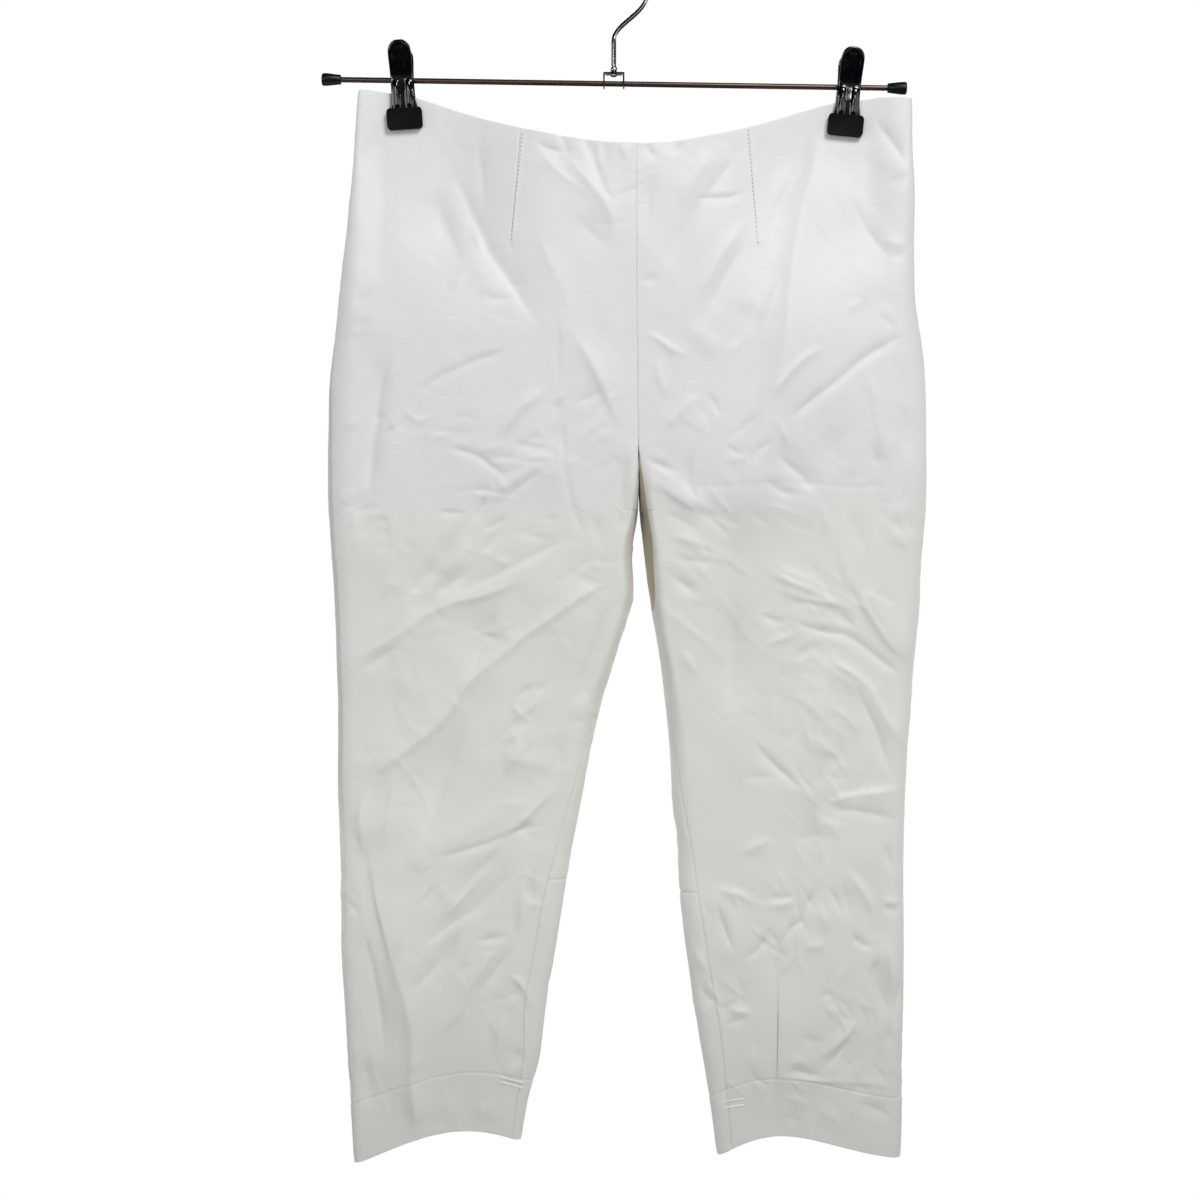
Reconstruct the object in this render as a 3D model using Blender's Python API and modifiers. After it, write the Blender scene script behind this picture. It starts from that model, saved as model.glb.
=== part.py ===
"""Capri pants hanging by the waist from a two-clip trouser hanger.

Frame: +Z up, the garment's front faces -Y, and the origin is the underside of the hook's arch, where the
hanger hangs. Sizes are in millimetres and become metres where the meshes are made. Left and right are as
seen from the front, so left is -X.

Each half of the garment is one smooth surface: at every level an outline runs from the front's inner end,
round the side fold, to the back's inner end. The cloth panels are cut from that surface at their seams and
given the cloth's thickness inward, so neighbouring panels stay one seam gap apart.
"""

import math

import bmesh
import bpy
import numpy as np
from mathutils import Matrix, Vector
from mathutils.geometry import interpolate_bezier

MM = 0.001

# ---- cloth ---------------------------------------------------------------------------------------
WALL = 1.2  # thickness of the cloth's wall
SEAM_GAP = 0.3  # between neighbouring panels
HEM_EXTRA = 0.6  # the turned-up hem is that much thicker, on its inner side
HEM_DEPTH = 45.0
HEM_STEP = 2.0  # height over which the hem's thickness sets in

WAIST_Z = -110.0  # nominal level of the waist edge
HEM_Z = -934.0  # nominal level of the hem edge
FORK_Z = -378.0  # where the front's crotch curve leaves the centre seam
BACK_FORK_Z = -398.0  # the same at the back
CROTCH_Z = -434.0  # lowest point of the crotch seam, where the four seams meet
KNEE_Z = {"left": -715.0, "right": -725.0}  # seam between the upper and the lower back panel

# Columns of faces across a panel: on the front between the inner seam, the shoulder of the inner fold and
# the side seam; on the back between the side seam, the outer fold, the shoulder, the inner fold and the inner
# seam.
FRONT_COLUMNS = (4, 13)
BACK_COLUMNS = (2, 9, 3, 2)
LEAST_STRETCH = 3.5  # shortest of those stretches
SHOULDER = 0.3  # the shoulder lies at this share of the inner fold's round
DENSE = 150  # samples of the outline across each of the front and the back
# Rows of faces: over the first stretch below the waist, on to the fork, round the crotch, on to the knee
# seam, on to the hem line and down the hem.
WAIST_STRETCH = 60.0
WAIST_ROWS, HIP_ROWS, CROTCH_ROWS, THIGH_ROWS, CALF_ROWS, HEM_ROWS = 5, 8, 6, 10, 6, 2

# One row a level. Widths are X at the outer and inner folds; depths are distances of the cloth from the plane
# of the side folds, at the side, in the middle and at the inner end; rounds are the widths over which the
# cloth turns into the outer and the inner fold; in_power is the inner fold's bluntness and in_y its place in
# depth.
SECTION_COLUMNS = (
    "z", "left_out", "left_in", "right_in", "right_out",
    "front_side", "front_mid", "front_in", "back_side", "back_mid", "back_in",
    "out_round", "left_round", "right_round", "in_power", "in_y",
)
SECTIONS = (
    (-110, -196.5, 17.0, 17.0, 230.0, 5.5, 19, 27, 5.5, 22, 32, 9, 5, 5, 1.0, 10),
    (-150, -199.0, 17.0, 17.0, 231.0, 8, 22, 30, 8, 27, 37, 16, 5, 5, 1.0, 10),
    (-194, -202.5, 17.0, 17.0, 232.0, 11, 26, 33, 12, 32, 42, 32, 5, 5, 1.0, 10),
    (-232, -207.0, 17.2, 17.2, 232.0, 13, 29, 35, 15, 36, 45, 42, 5, 5, 1.0, 10),
    (-270, -211.0, 17.6, 17.6, 232.5, 15, 31, 36, 17, 38, 46, 50, 5, 5, 1.0, 10),
    (-309, -214.8, 18.0, 18.0, 238.0, 16, 32, 36, 19, 40, 46, 58, 5, 5, 1.0, 10),
    (-348, -218.7, 18.4, 18.4, 240.5, 16, 32, 36, 20, 41, 46, 60, 5, 6, 1.0, 10),
    (-405, -219.3, 19.4, 19.4, 241.2, 16, 31, 35, 20, 40, 44, 60, 5, 8, 0.9, 10),
    (-434, -218.7, 19.9, 19.9, 240.0, 16, 30, 33, 20, 38, 40, 58, 6, 10, 0.75, 10),
    (-463, -217.1, 15.0, 23.5, 238.0, 16, 29, 31, 19, 36, 36, 54, 9, 12, 0.6, 9),
    (-502, -214.8, 15.0, 29.0, 235.6, 15, 27, 28, 18, 33, 31, 50, 16, 17, 0.5, 7),
    (-540, -212.5, 3.4, 35.0, 232.5, 15, 25, 25, 17, 30, 27, 46, 26, 26, 0.5, 4),
    (-579, -211.0, -8.0, 40.0, 229.5, 14, 23, 22, 16, 27, 24, 44, 36, 36, 0.5, 2),
    (-617, -211.0, -17.0, 44.0, 226.5, 14, 22, 19, 15, 25, 21, 42, 42, 42, 0.5, 0),
    (-656, -211.0, -24.5, 46.5, 225.0, 13, 20, 17, 15, 23, 19, 40, 44, 44, 0.5, 0),
    (-694, -210.3, -31.5, 49.5, 223.5, 13, 19, 15, 14, 22, 17, 38, 42, 42, 0.5, 0),
    (-732, -209.5, -38.5, 52.5, 224.0, 12, 18, 14, 14, 21, 16, 36, 40, 40, 0.5, 0),
    (-771, -209.2, -44.0, 56.5, 224.2, 12, 17, 13, 13, 20, 15, 34, 38, 38, 0.5, 0),
    (-809, -207.0, -51.0, 61.5, 223.5, 11, 15, 12, 13, 19, 14, 32, 34, 34, 0.5, 0),
    (-848, -204.5, -56.5, 68.5, 222.4, 11, 13, 12, 12, 18, 13, 30, 30, 30, 0.5, 0),
    (-889, -201.5, -66.0, 75.0, 222.0, 10, 10, 11, 12, 17, 13, 28, 28, 28, 0.5, 0),
    (-934, -198.8, -74.0, 81.0, 220.4, 9, 8, 10, 11, 16, 12, 26, 26, 26, 0.5, 0),
)

# How far the back panel comes round onto the front at the side fold and at the inner fold, by level.
SEAM_WRAP_COLUMNS = ("z", "left_side", "right_side", "left_inner", "right_inner")
SEAM_WRAPS = (
    (-110, 0.0, 0.0, 0.0, 0.0),
    (-270, 0.0, 0.0, 0.0, 0.0),
    (-350, 9.0, 0.0, 0.0, 0.0),
    (-434, 11.0, 0.0, 0.0, 0.0),
    (-540, 11.0, 2.0, 7.0, 7.0),
    (-656, 11.0, 3.0, 19.0, 17.0),
    (-732, 10.0, 3.0, 24.0, 22.0),
    (-809, 7.0, 3.0, 24.0, 24.0),
    (-934, 5.0, 3.0, 12.0, 18.0),
)

# Largest folds: a soft ridge out of the cloth where height is positive, a trough where it is negative.
# A fold runs on past its ends by a share of its length and fades over another.
FOLD_OVERRUN = 0.15
FOLD_FADE = 0.4
FOLD_COLUMNS = ("x0", "z0", "x1", "z1", "half_width", "height")
FRONT_FOLDS = (
    (-183, -300, -188, -430, 11, -3.0),  # beside the left side fold, at the hip
    (-42, -280, -5, -348, 12, 2.5),  # drag line toward the fork, left
    (-40, -396, -86, -421, 9, 3.0),
    (-64, -471, -200, -556, 12, 3.0),  # long diagonal of the left thigh
    (-84, -540, -190, -646, 14, 3.5),  # second diagonal, toward the knee
    (-97, -562, -138, -640, 14, -3.0),
    (-43, -645, -180, -713, 10, 3.0),
    (-190, -690, -165, -802, 9, -6.0),  # deep trough down the left calf
    (-82, -702, -146, -768, 10, -4.5),
    (-116, -754, -158, -808, 10, -4.0),
    (57, -296, 81, -314, 8, 2.5),
    (101, -280, 92, -312, 10, -3.0),
    (35, -410, 68, -433, 8, 4.0),  # beside the fork, right
    (121, -386, 155, -416, 9, -3.5),
    (184, -489, 231, -549, 9, 4.5),  # strong ridge of the right thigh
    (165, -546, 224, -617, 10, 4.0),
    (154, -618, 155, -702, 13, -4.0),
    (178, -662, 224, -648, 9, 3.0),
    (77, -723, 95, -778, 10, 3.5),
    (127, -768, 124, -905, 6, -5.0),  # valley to the right hem
    (190, -705, 205, -768, 9, -4.0),
    (203, -780, 212, -822, 7, -4.0),
)
BACK_FOLDS = (
    (-120, -200, -60, -300, 16, 3.0),
    (150, -190, 90, -290, 16, 3.0),
    (-30, -390, -120, -440, 14, 3.0),
    (70, -390, 160, -445, 14, 3.0),
    (-80, -470, -180, -560, 15, -4.0),
    (80, -520, 190, -600, 15, -4.0),
    (-90, -640, -170, -700, 13, 3.5),
    (110, -660, 190, -720, 13, 3.5),
    (-130, -760, -110, -900, 12, -4.0),
    (150, -760, 140, -900, 12, -4.0),
)

# ---- waist and hem edges -------------------------------------------------------------------------
WAIST_SAG = 40.5  # the edge hangs that far below the clips at the centre seam
WAIST_SAG_POWER = {"left": 1.13, "right": 1.35}
WAIST_CORNER_LIFT = 3.0  # past the clips the edge rises again, over this reach
WAIST_CORNER_REACH = 30.0
WAIST_EASE = 130.0  # the rows are straight again that far below the waist
WAIST_BELOW_CLIP = 3.0  # the edge's drop under the clips, from its nominal level
PINCH_REACH = 26.0  # the front and back lie together that far to each side of a pad's middle
PINCH_FADE_INWARD = 90.0  # and part over these distances
PINCH_FADE_OUTWARD = 9.0
PINCH_REACH_DOWN = 13.0
PINCH_FADE_DOWN = 150.0
# The hem's height above its nominal level: at the outer fold, at the inner fold, and how far its middle bows
# up, with a skew that moves the bow toward the inner fold.
HEM_LIFT = {
    "left": {"outer": 0.0, "inner": 18.0, "bow": 14.0, "skew": 1.0},
    "right": {"outer": 5.0, "inner": 6.0, "bow": 16.0, "skew": 1.6},
}
HEM_EASE = 90.0  # the rows are straight again that far above the hem line

# ---- hanger --------------------------------------------------------------------------------------
ROD_RADIUS = 2.1
ROD_LENGTH = 446.0
ROD_CENTRE = (1.0, 0.0, -104.3)
ROD_TILT = math.radians(0.88)  # the right end hangs lower
CLEARANCE = 0.3  # between parts that touch or turn
CUT_PAST = 2.0  # cutters run on past the faces they cut
SHARP_ANGLE = math.radians(45.0)  # edges at least this sharp are shaded sharp

CAP_LENGTH = 14.6
CAP_RADIUS_INNER = 3.6
CAP_RADIUS_OUTER = 4.8
CAP_END = 1.8  # thickness of its closed end
CAP_CHAMFER = 1.1
CAP_RIM = 4.0  # length of its widest stretch, chamfer included

WIRE_RADIUS = 1.85
ARCH_RADIUS = WIRE_RADIUS + 26.65  # of the wire's centre line
ARCH_START = math.radians(-27.0)
ARCH_END = math.radians(200.0)
SHANK_X = 0.6
SHANK_TOP_Z = -70.5
BEND_RISE = 11.0  # the bend's curve leaves the shank over this height
BEND_PULL = (20.0, 0.0, -53.0)  # and comes into the arch from the direction of this point
ARCH_STEPS = 22
BEND_STEPS = 9

BRACKET_WIDTH = 16.4
BRACKET_DEPTH = 7.0  # along Y
BRACKET_SHEET = 1.2
BRACKET_CORNER = 2.4  # radius of its outer corners
BRACKET_TOP_Z = -95.9
BRACKET_BELOW_ROD = 3.6  # the legs reach that far below the rod's axis
SWIVEL_BALL_RADIUS = 2.8
SWIVEL_BALL_Z = BRACKET_TOP_Z + CLEARANCE + 0.8 * SWIVEL_BALL_RADIUS  # cut flat just above the bracket
SWIVEL_BALL_DEGREES = range(0, 144, 18)  # of its profile, from the top
SWIVEL_NECK_RADIUS = 1.4
SWIVEL_HEAD_RADIUS = 2.6
SWIVEL_HEAD_TAPER = 0.7
SWIVEL_HEAD_HEIGHT = 1.6

CLIPS = {"left": (-162.2, math.radians(-4.0)), "right": (181.6, math.radians(5.7))}  # X on the rod, lean
JAW_SHEET = 1.0
SLEEVE_RADIUS = 4.3
SLEEVE_LENGTH = 13.0
PAD_WIDTH = 27.2
PAD_TOP_Z = -22.0
PAD_HEIGHT = 16.2
PAD_THICKNESS = 4.4
PAD_CORNER = 3.0
TONGUE_DEPTH = 11.0
# A jaw's rows: height from the rod's axis, half width, and distance of the sheet's middle from the rod.
JAW_ROWS = (
    (28.0, 3.2, 13.2),
    (26.8, 6.0, 13.1),
    (24.8, 7.8, 12.9),
    (21.5, 8.6, 12.3),
    (13.0, 8.5, 9.3),
    (5.0, 8.4, 6.0),
    (1.5, 8.4, 5.1),
    (-7.0, 8.4, 5.1),
    (-15.0, 8.8, 4.9),
    (-20.0, 10.2, 4.3),
    (PAD_TOP_Z + 0.4, 10.5, 3.85),
    (PAD_TOP_Z - TONGUE_DEPTH, 10.5, 3.85),
)
JAW_STRIPS = 4  # faces across a jaw


# ---- tables --------------------------------------------------------------------------------------
def smooth_columns(names, rows):
    """The table's columns as smooth functions of its first column."""
    table = np.array(rows, dtype=float)[::-1]
    levels = table[:, 0]

    def reader(values):
        slopes = np.gradient(values, levels)

        def read(z):
            z = np.clip(z, levels[0], levels[-1])
            at = np.clip(np.searchsorted(levels, z, side="right") - 1, 0, len(levels) - 2)
            span = levels[at + 1] - levels[at]
            s = (z - levels[at]) / span
            rise = s * s * (3 - 2 * s)
            bend = span * s * (1 - s) * ((1 - s) * slopes[at] - s * slopes[at + 1])
            return values[at] * (1 - rise) + values[at + 1] * rise + bend

        return read

    return {name: reader(table[:, i]) for i, name in enumerate(names) if i}


SECTION = smooth_columns(SECTION_COLUMNS, SECTIONS)
WRAP = smooth_columns(SEAM_WRAP_COLUMNS, SEAM_WRAPS)


def ease(s):
    """Smooth step from 0 to 1."""
    s = np.clip(s, 0.0, 1.0)
    return s * s * (3 - 2 * s)


# ---- cloth surface -------------------------------------------------------------------------------
def rod_z(x):
    """Height of the rod's axis at x."""
    return ROD_CENTRE[2] - (x - ROD_CENTRE[0]) * math.tan(ROD_TILT)


def pad_centre(side):
    """X and Z of the middle of a clip's pads."""
    x, lean = CLIPS[side]
    down = PAD_TOP_Z - PAD_HEIGHT / 2
    return x + down * math.sin(lean), rod_z(x) + down * math.cos(lean)


def waist_drop(x):
    """Height of the waist edge above its nominal level: level past the clips, sagging between them."""
    left, right = pad_centre("left")[0], pad_centre("right")[0]
    centre = SECTION["left_in"](WAIST_Z)
    on_left = x < centre
    share = np.where(on_left, (x - left) / (centre - left), (right - x) / (right - centre))
    power = np.where(on_left, WAIST_SAG_POWER["left"], WAIST_SAG_POWER["right"])
    sag = WAIST_SAG * np.sin(np.clip(share, 0, 1) * math.pi / 2) ** power
    corner = WAIST_CORNER_LIFT * ease(np.maximum(left - x, x - right) / WAIST_CORNER_REACH)
    return rod_z(x) - rod_z(left) - WAIST_BELOW_CLIP - sag + corner


def hem_rise(side, share):
    """Height of the hem above its nominal level, `share` of the way from the outer to the inner fold."""
    lift = HEM_LIFT[side]
    bow = lift["bow"] * np.sin(math.pi * share ** lift["skew"])
    return lift["outer"] + (lift["inner"] - lift["outer"]) * ease(share) + bow


def pinch(x, z):
    """1 where the clips press the front and back together, fading to 0 around and below them."""
    held = np.zeros(np.broadcast(x, z).shape)
    for side, inward in (("left", 1), ("right", -1)):
        centre_x, centre_z = pad_centre(side)
        across = (x - centre_x) * inward
        inner = 1 - ease((across - PINCH_REACH) / PINCH_FADE_INWARD)
        outer = 1 - ease((-across - PINCH_REACH) / PINCH_FADE_OUTWARD)
        below = centre_z - PAD_HEIGHT / 2 - z
        down = 1 - ease((below - PINCH_REACH_DOWN) / PINCH_FADE_DOWN)
        held = np.maximum(held, np.where(across > 0, inner, outer) * down)
    return held


def fold_relief(folds, x, z):
    """Sum of the large folds' heights: each is a soft bar that fades toward its ends."""
    total = np.zeros(np.broadcast(x, z).shape)
    for row in folds:
        fold = dict(zip(FOLD_COLUMNS, row))
        run_x, run_z = fold["x1"] - fold["x0"], fold["z1"] - fold["z0"]
        off_x, off_z = x - fold["x0"], z - fold["z0"]
        length = math.hypot(run_x, run_z)
        along = (off_x * run_x + off_z * run_z) / length**2
        across = (off_x * run_z - off_z * run_x) / length
        fade = ease((along + FOLD_OVERRUN) / FOLD_FADE) * ease((1 + FOLD_OVERRUN - along) / FOLD_FADE)
        total += fold["height"] * fade * np.exp(-((across / fold["half_width"]) ** 2))
    return total


def fold_edge(distance, width, power=0.5):
    """0 at a fold and 1 from `width` on: a quarter of an ellipse unless another power is given."""
    return (1 - (1 - np.clip(distance / width, 0, 1)) ** 2) ** power


def seam_share(z, fork_z):
    """0 above a crotch curve's start and 1 at the crotch, as a share of its height."""
    return np.clip((fork_z - z) / (fork_z - CROTCH_Z), 0, 1)


def sheet_y(face, x, share, z):
    """Y of the front or the back at x, `share` of the way from the outer to the inner fold."""
    outer, middle, inner = (SECTION[f"{face}_{place}"](z) for place in ("side", "mid", "in"))
    depth = outer * (1 - share) * (1 - 2 * share) + middle * 4 * share * (1 - share)
    depth += inner * share * (2 * share - 1)
    free = 1 - pinch(x, z)
    depth = WALL + SEAM_GAP / 2 + (depth - WALL - SEAM_GAP / 2) * free
    folds = FRONT_FOLDS if face == "front" else BACK_FOLDS
    depth = depth + fold_relief(folds, x, z) * free
    return -depth if face == "front" else depth


def inner_end(side, level):
    """X of a leg's inner fold, or down to the crotch of the centre seam that both halves share."""
    if level < CROTCH_Z:
        return SECTION[f"{side}_in"](level)
    return (SECTION["left_in"](level) + SECTION["right_in"](level)) / 2


def outline(side, level):
    """Points of one half's outline at a level, from the front's inner end to the back's inner end."""
    outward = -1 if side == "left" else 1
    at_waist = ease(1 - (WAIST_Z - level) / WAIST_EASE)
    at_hem = ease(1 - (level - HEM_Z - HEM_DEPTH) / HEM_EASE)
    outer_x = SECTION[f"{side}_out"](level + at_hem * hem_rise(side, 0.0))
    inner_x = inner_end(side, level + at_hem * hem_rise(side, 1.0)) + outward * SEAM_GAP / 2
    width = abs(inner_x - outer_x)
    share = (1 - np.cos(np.linspace(0, math.pi, DENSE + 1))) / 2
    x = outer_x + (inner_x - outer_x) * share
    z = level + at_waist * waist_drop(x) + at_hem * hem_rise(side, share)

    halves = []
    for face, fork_z in (("front", FORK_Z), ("back", BACK_FORK_Z)):
        y = sheet_y(face, x, share, z) * fold_edge(share * width, SECTION["out_round"](level))
        turned = seam_share(level, fork_z)
        end_y = y[-1] + (SECTION["in_y"](level) - y[-1]) * (1 - math.sqrt(1 - turned**2))
        in_round = SECTION[f"{side}_round"](level)
        y = end_y + (y - end_y) * fold_edge((1 - share) * width, in_round, SECTION["in_power"](level))
        halves.append(np.column_stack([x, y, z]))
    front, back = halves
    return np.vstack([front[::-1], back[1:]])


def panel_levels(side):
    """Levels of the rows of points from the waist to the hem, with the knee seam's edges around its own."""
    knee = KNEE_Z[side]
    hem_line = HEM_Z + HEM_DEPTH
    hip = WAIST_Z - WAIST_STRETCH
    crotch_rows = FORK_Z + (CROTCH_Z - FORK_Z) * np.sin(np.linspace(0, math.pi / 2, CROTCH_ROWS + 1))
    return np.concatenate([
        np.linspace(WAIST_Z, hip, WAIST_ROWS, endpoint=False),
        np.linspace(hip, FORK_Z, HIP_ROWS, endpoint=False),
        crotch_rows,
        np.linspace(CROTCH_Z, knee, THIGH_ROWS + 1)[1:-1],
        [knee + SEAM_GAP / 2, knee, knee - SEAM_GAP / 2],
        np.linspace(knee, hem_line, CALF_ROWS + 1)[1:],
        np.linspace(hem_line - HEM_STEP, HEM_Z, HEM_ROWS + 1),
    ])


class HalfSurface:
    """One half of the garment's surface, sampled finely, from which the panels are cut."""

    def __init__(self, side):
        self.side = side
        self.levels = panel_levels(side)
        self.points = np.stack([outline(side, z) for z in self.levels])
        along = np.gradient(self.points, axis=1)
        down = np.gradient(self.points, axis=0)
        normals = np.cross(along, down)
        normals /= np.linalg.norm(normals, axis=2, keepdims=True)
        outward = -1 if side == "left" else 1
        nose = normals[len(self.levels) // 2, DENSE, 0]
        self.normals = normals * (outward * np.sign(nose))
        steps = np.linalg.norm(np.diff(self.points, axis=1), axis=2)
        self.arcs = np.concatenate([np.zeros((len(steps), 1)), np.cumsum(steps, axis=1)], axis=1)

    def knots(self, face, row):
        """Arc positions on a row between which a panel's columns are spread."""
        level = self.levels[row]
        closed = level <= CROTCH_Z
        inner = WRAP[f"{self.side}_inner"](level) if closed else 0.0
        trim = SEAM_GAP / 2 if closed else 0.0
        arcs = self.arcs[row]
        from_end = np.abs(self.points[row, :, 0] - self.points[row, 0, 0])
        turned = int(np.argmax(from_end > SHOULDER * SECTION[f"{self.side}_round"](level)))
        side = arcs[DENSE] - WRAP[f"{self.side}_side"](level)
        if face == "front":
            knots = [inner + trim, arcs[turned], side - SEAM_GAP / 2]
        else:
            knots = [side + SEAM_GAP / 2, arcs[DENSE], arcs[-1 - turned], arcs[-1], arcs[-1] + inner - trim]
        for i in range(1, len(knots)):
            knots[i] = max(knots[i], knots[i - 1] + LEAST_STRETCH) if i < len(knots) - 1 else knots[i]
        for i in range(len(knots) - 2, 0, -1):
            knots[i] = min(knots[i], knots[i + 1] - LEAST_STRETCH)
        return knots

    def cut(self, face, row):
        """Points and normals across one panel on a row."""
        knots = self.knots(face, row)
        counts = FRONT_COLUMNS if face == "front" else BACK_COLUMNS
        places = [knots[0]]
        for start, end, count in zip(knots, knots[1:], counts):
            steps = np.arange(1, count + 1) / count
            if count == max(counts):
                steps = (steps + (1 - np.cos(steps * math.pi)) / 2) / 2
            places.extend(start + (end - start) * steps)
        arcs = np.concatenate([self.arcs[row], self.arcs[row, -1] + self.arcs[row, 1:DENSE]])

        def read(values):
            round_again = np.concatenate([values, values[1:DENSE]])
            return np.column_stack([np.interp(places, arcs, round_again[:, i]) for i in range(3)])

        points, normals = read(self.points[row]), read(self.normals[row])
        return points, normals / np.linalg.norm(normals, axis=1, keepdims=True)

    def panel(self, face, first_row, last_row, skip=()):
        """Outer and inner points of a panel between two rows."""
        rows = [row for row in range(first_row, last_row + 1) if row not in skip]
        cuts = [self.cut(face, row) for row in rows]
        outer = np.stack([points for points, _ in cuts])
        normals = np.stack([normals for _, normals in cuts])
        hem_line = HEM_Z + HEM_DEPTH - HEM_STEP / 2
        wall = np.array([WALL + (HEM_EXTRA if self.levels[row] < hem_line else 0.0) for row in rows])
        return outer, outer - normals * wall[:, None, None]


# ---- scene helpers -------------------------------------------------------------------------------
def clear_scene():
    """Remove every object, so that the script starts from nothing."""
    for item in list(bpy.data.objects):
        bpy.data.objects.remove(item, do_unlink=True)


def new_collection(name, hidden=False):
    """A collection under the scene's own."""
    collection = bpy.data.collections.new(name)
    bpy.context.scene.collection.children.link(collection)
    collection.hide_render = hidden
    return collection


def new_material(name, colour, roughness, metallic=0.0):
    """A Principled material."""
    material = bpy.data.materials.new(name)
    material.use_nodes = True
    shader = material.node_tree.nodes["Principled BSDF"]
    shader.inputs["Base Color"].default_value = (*colour, 1.0)
    shader.inputs["Roughness"].default_value = roughness
    shader.inputs["Metallic"].default_value = metallic
    return material


def new_object(name, mesh, collection, material=None):
    """An object for a mesh, in a collection."""
    item = bpy.data.objects.new(name, mesh)
    if material:
        mesh.materials.append(material)
    collection.objects.link(item)
    return item


def mesh_from_bmesh(name, bm):
    """A mesh from a bmesh whose points are in millimetres, facing outward."""
    bmesh.ops.scale(bm, vec=(MM, MM, MM), verts=bm.verts)
    bmesh.ops.recalc_face_normals(bm, faces=bm.faces)
    mesh = bpy.data.meshes.new(name)
    bm.to_mesh(mesh)
    bm.free()
    return mesh


def shade_round(mesh):
    """Smooth shading with sharp edges kept."""
    mesh.shade_smooth()
    mesh.set_sharp_from_angle(angle=SHARP_ANGLE)


def place(item, location, turn=0.0):
    """Set an object at a place in millimetres, turned about Y."""
    item.location = Vector(location) * MM
    item.rotation_euler = (0.0, turn, 0.0)


def new_cylinder(radius, length, segments, axis="X"):
    """A bmesh cylinder about X or Z."""
    bm = bmesh.new()
    turn = Matrix.Rotation(math.pi / 2, 3, "Y") if axis == "X" else Matrix.Identity(3)
    bmesh.ops.create_cone(
        bm, cap_ends=True, segments=segments, radius1=radius, radius2=radius, depth=length
    )
    bmesh.ops.rotate(bm, matrix=turn, verts=bm.verts)
    return bm


def new_box(size, centre=(0, 0, 0)):
    """A bmesh box."""
    bm = bmesh.new()
    bmesh.ops.create_cube(bm, size=1.0)
    bmesh.ops.scale(bm, vec=size, verts=bm.verts)
    bmesh.ops.translate(bm, vec=centre, verts=bm.verts)
    return bm


def boolean(item, other, operation="DIFFERENCE"):
    """Cut another object out of this one, or join it on."""
    modifier = item.modifiers.new(operation.title(), "BOOLEAN")
    modifier.object = other
    modifier.operation = operation
    modifier.solver = "EXACT"


def as_cutter(name, bm, cutters):
    """A cutter: left out of the part and drawn as wire."""
    item = new_object(name, mesh_from_bmesh(name, bm), cutters)
    item.hide_render = True
    item.display_type = "WIRE"
    return item


def turned(name, profile, segments, collection, material=None, axis="Z"):
    """A closed turned shape from a profile of radius and height, which runs down its outer side."""
    mesh = bpy.data.meshes.new(name)
    if axis == "Z":
        points = [(r * MM, 0.0, h * MM) for r, h in profile]
    else:
        points = [(h * MM, 0.0, r * MM) for r, h in profile]
    mesh.from_pydata(points, [(i, i + 1) for i in range(len(points) - 1)], [])
    item = new_object(name, mesh, collection, material)
    screw = item.modifiers.new("Turned", "SCREW")
    screw.axis = axis
    screw.steps = screw.render_steps = segments
    screw.use_merge_vertices = True
    screw.merge_threshold = 0.00001
    screw.use_smooth_shade = True
    return item


# ---- cloth panels --------------------------------------------------------------------------------
def panel_mesh(name, outer, inner):
    """A closed sheet from two grids of points: its outer face, its inner face and the rim between them."""
    rows, columns = outer.shape[:2]
    count = rows * columns
    points = np.vstack([outer.reshape(-1, 3), inner.reshape(-1, 3)]) * MM

    def corner(row, column):
        return row * columns + column

    faces = []
    for row in range(rows - 1):
        for column in range(columns - 1):
            quad = (
                corner(row, column), corner(row + 1, column),
                corner(row + 1, column + 1), corner(row, column + 1),
            )
            faces.append(quad)
            faces.append(tuple(count + i for i in reversed(quad)))
    rim = [corner(0, c) for c in range(columns)]
    rim += [corner(r, columns - 1) for r in range(1, rows)]
    rim += [corner(rows - 1, c) for c in range(columns - 2, -1, -1)]
    rim += [corner(r, 0) for r in range(rows - 2, 0, -1)]
    for here, there in zip(rim, rim[1:] + rim[:1]):
        faces.append((here, there, count + there, count + here))

    bm = bmesh.new()
    verts = [bm.verts.new(point) for point in points]
    for face in faces:
        bm.faces.new([verts[i] for i in face])
    bmesh.ops.recalc_face_normals(bm, faces=bm.faces)
    mesh = bpy.data.meshes.new(name)
    bm.to_mesh(mesh)
    bm.free()
    shade_round(mesh)
    return mesh


def build_trousers(collection, cloth):
    """The two front panels and the four back panels."""
    for side in ("left", "right"):
        surface = HalfSurface(side)
        last = len(surface.levels) - 1
        knee = int(np.flatnonzero(surface.levels == KNEE_Z[side])[0])
        pieces = {
            f"front_{side}": surface.panel("front", 0, last, skip=(knee - 1, knee + 1)),
            f"back_upper_{side}": surface.panel("back", 0, knee - 1),
            f"back_lower_{side}": surface.panel("back", knee + 1, last),
        }
        for name, (outer, inner) in pieces.items():
            new_object(name, panel_mesh(name, outer, inner), collection, cloth)


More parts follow.
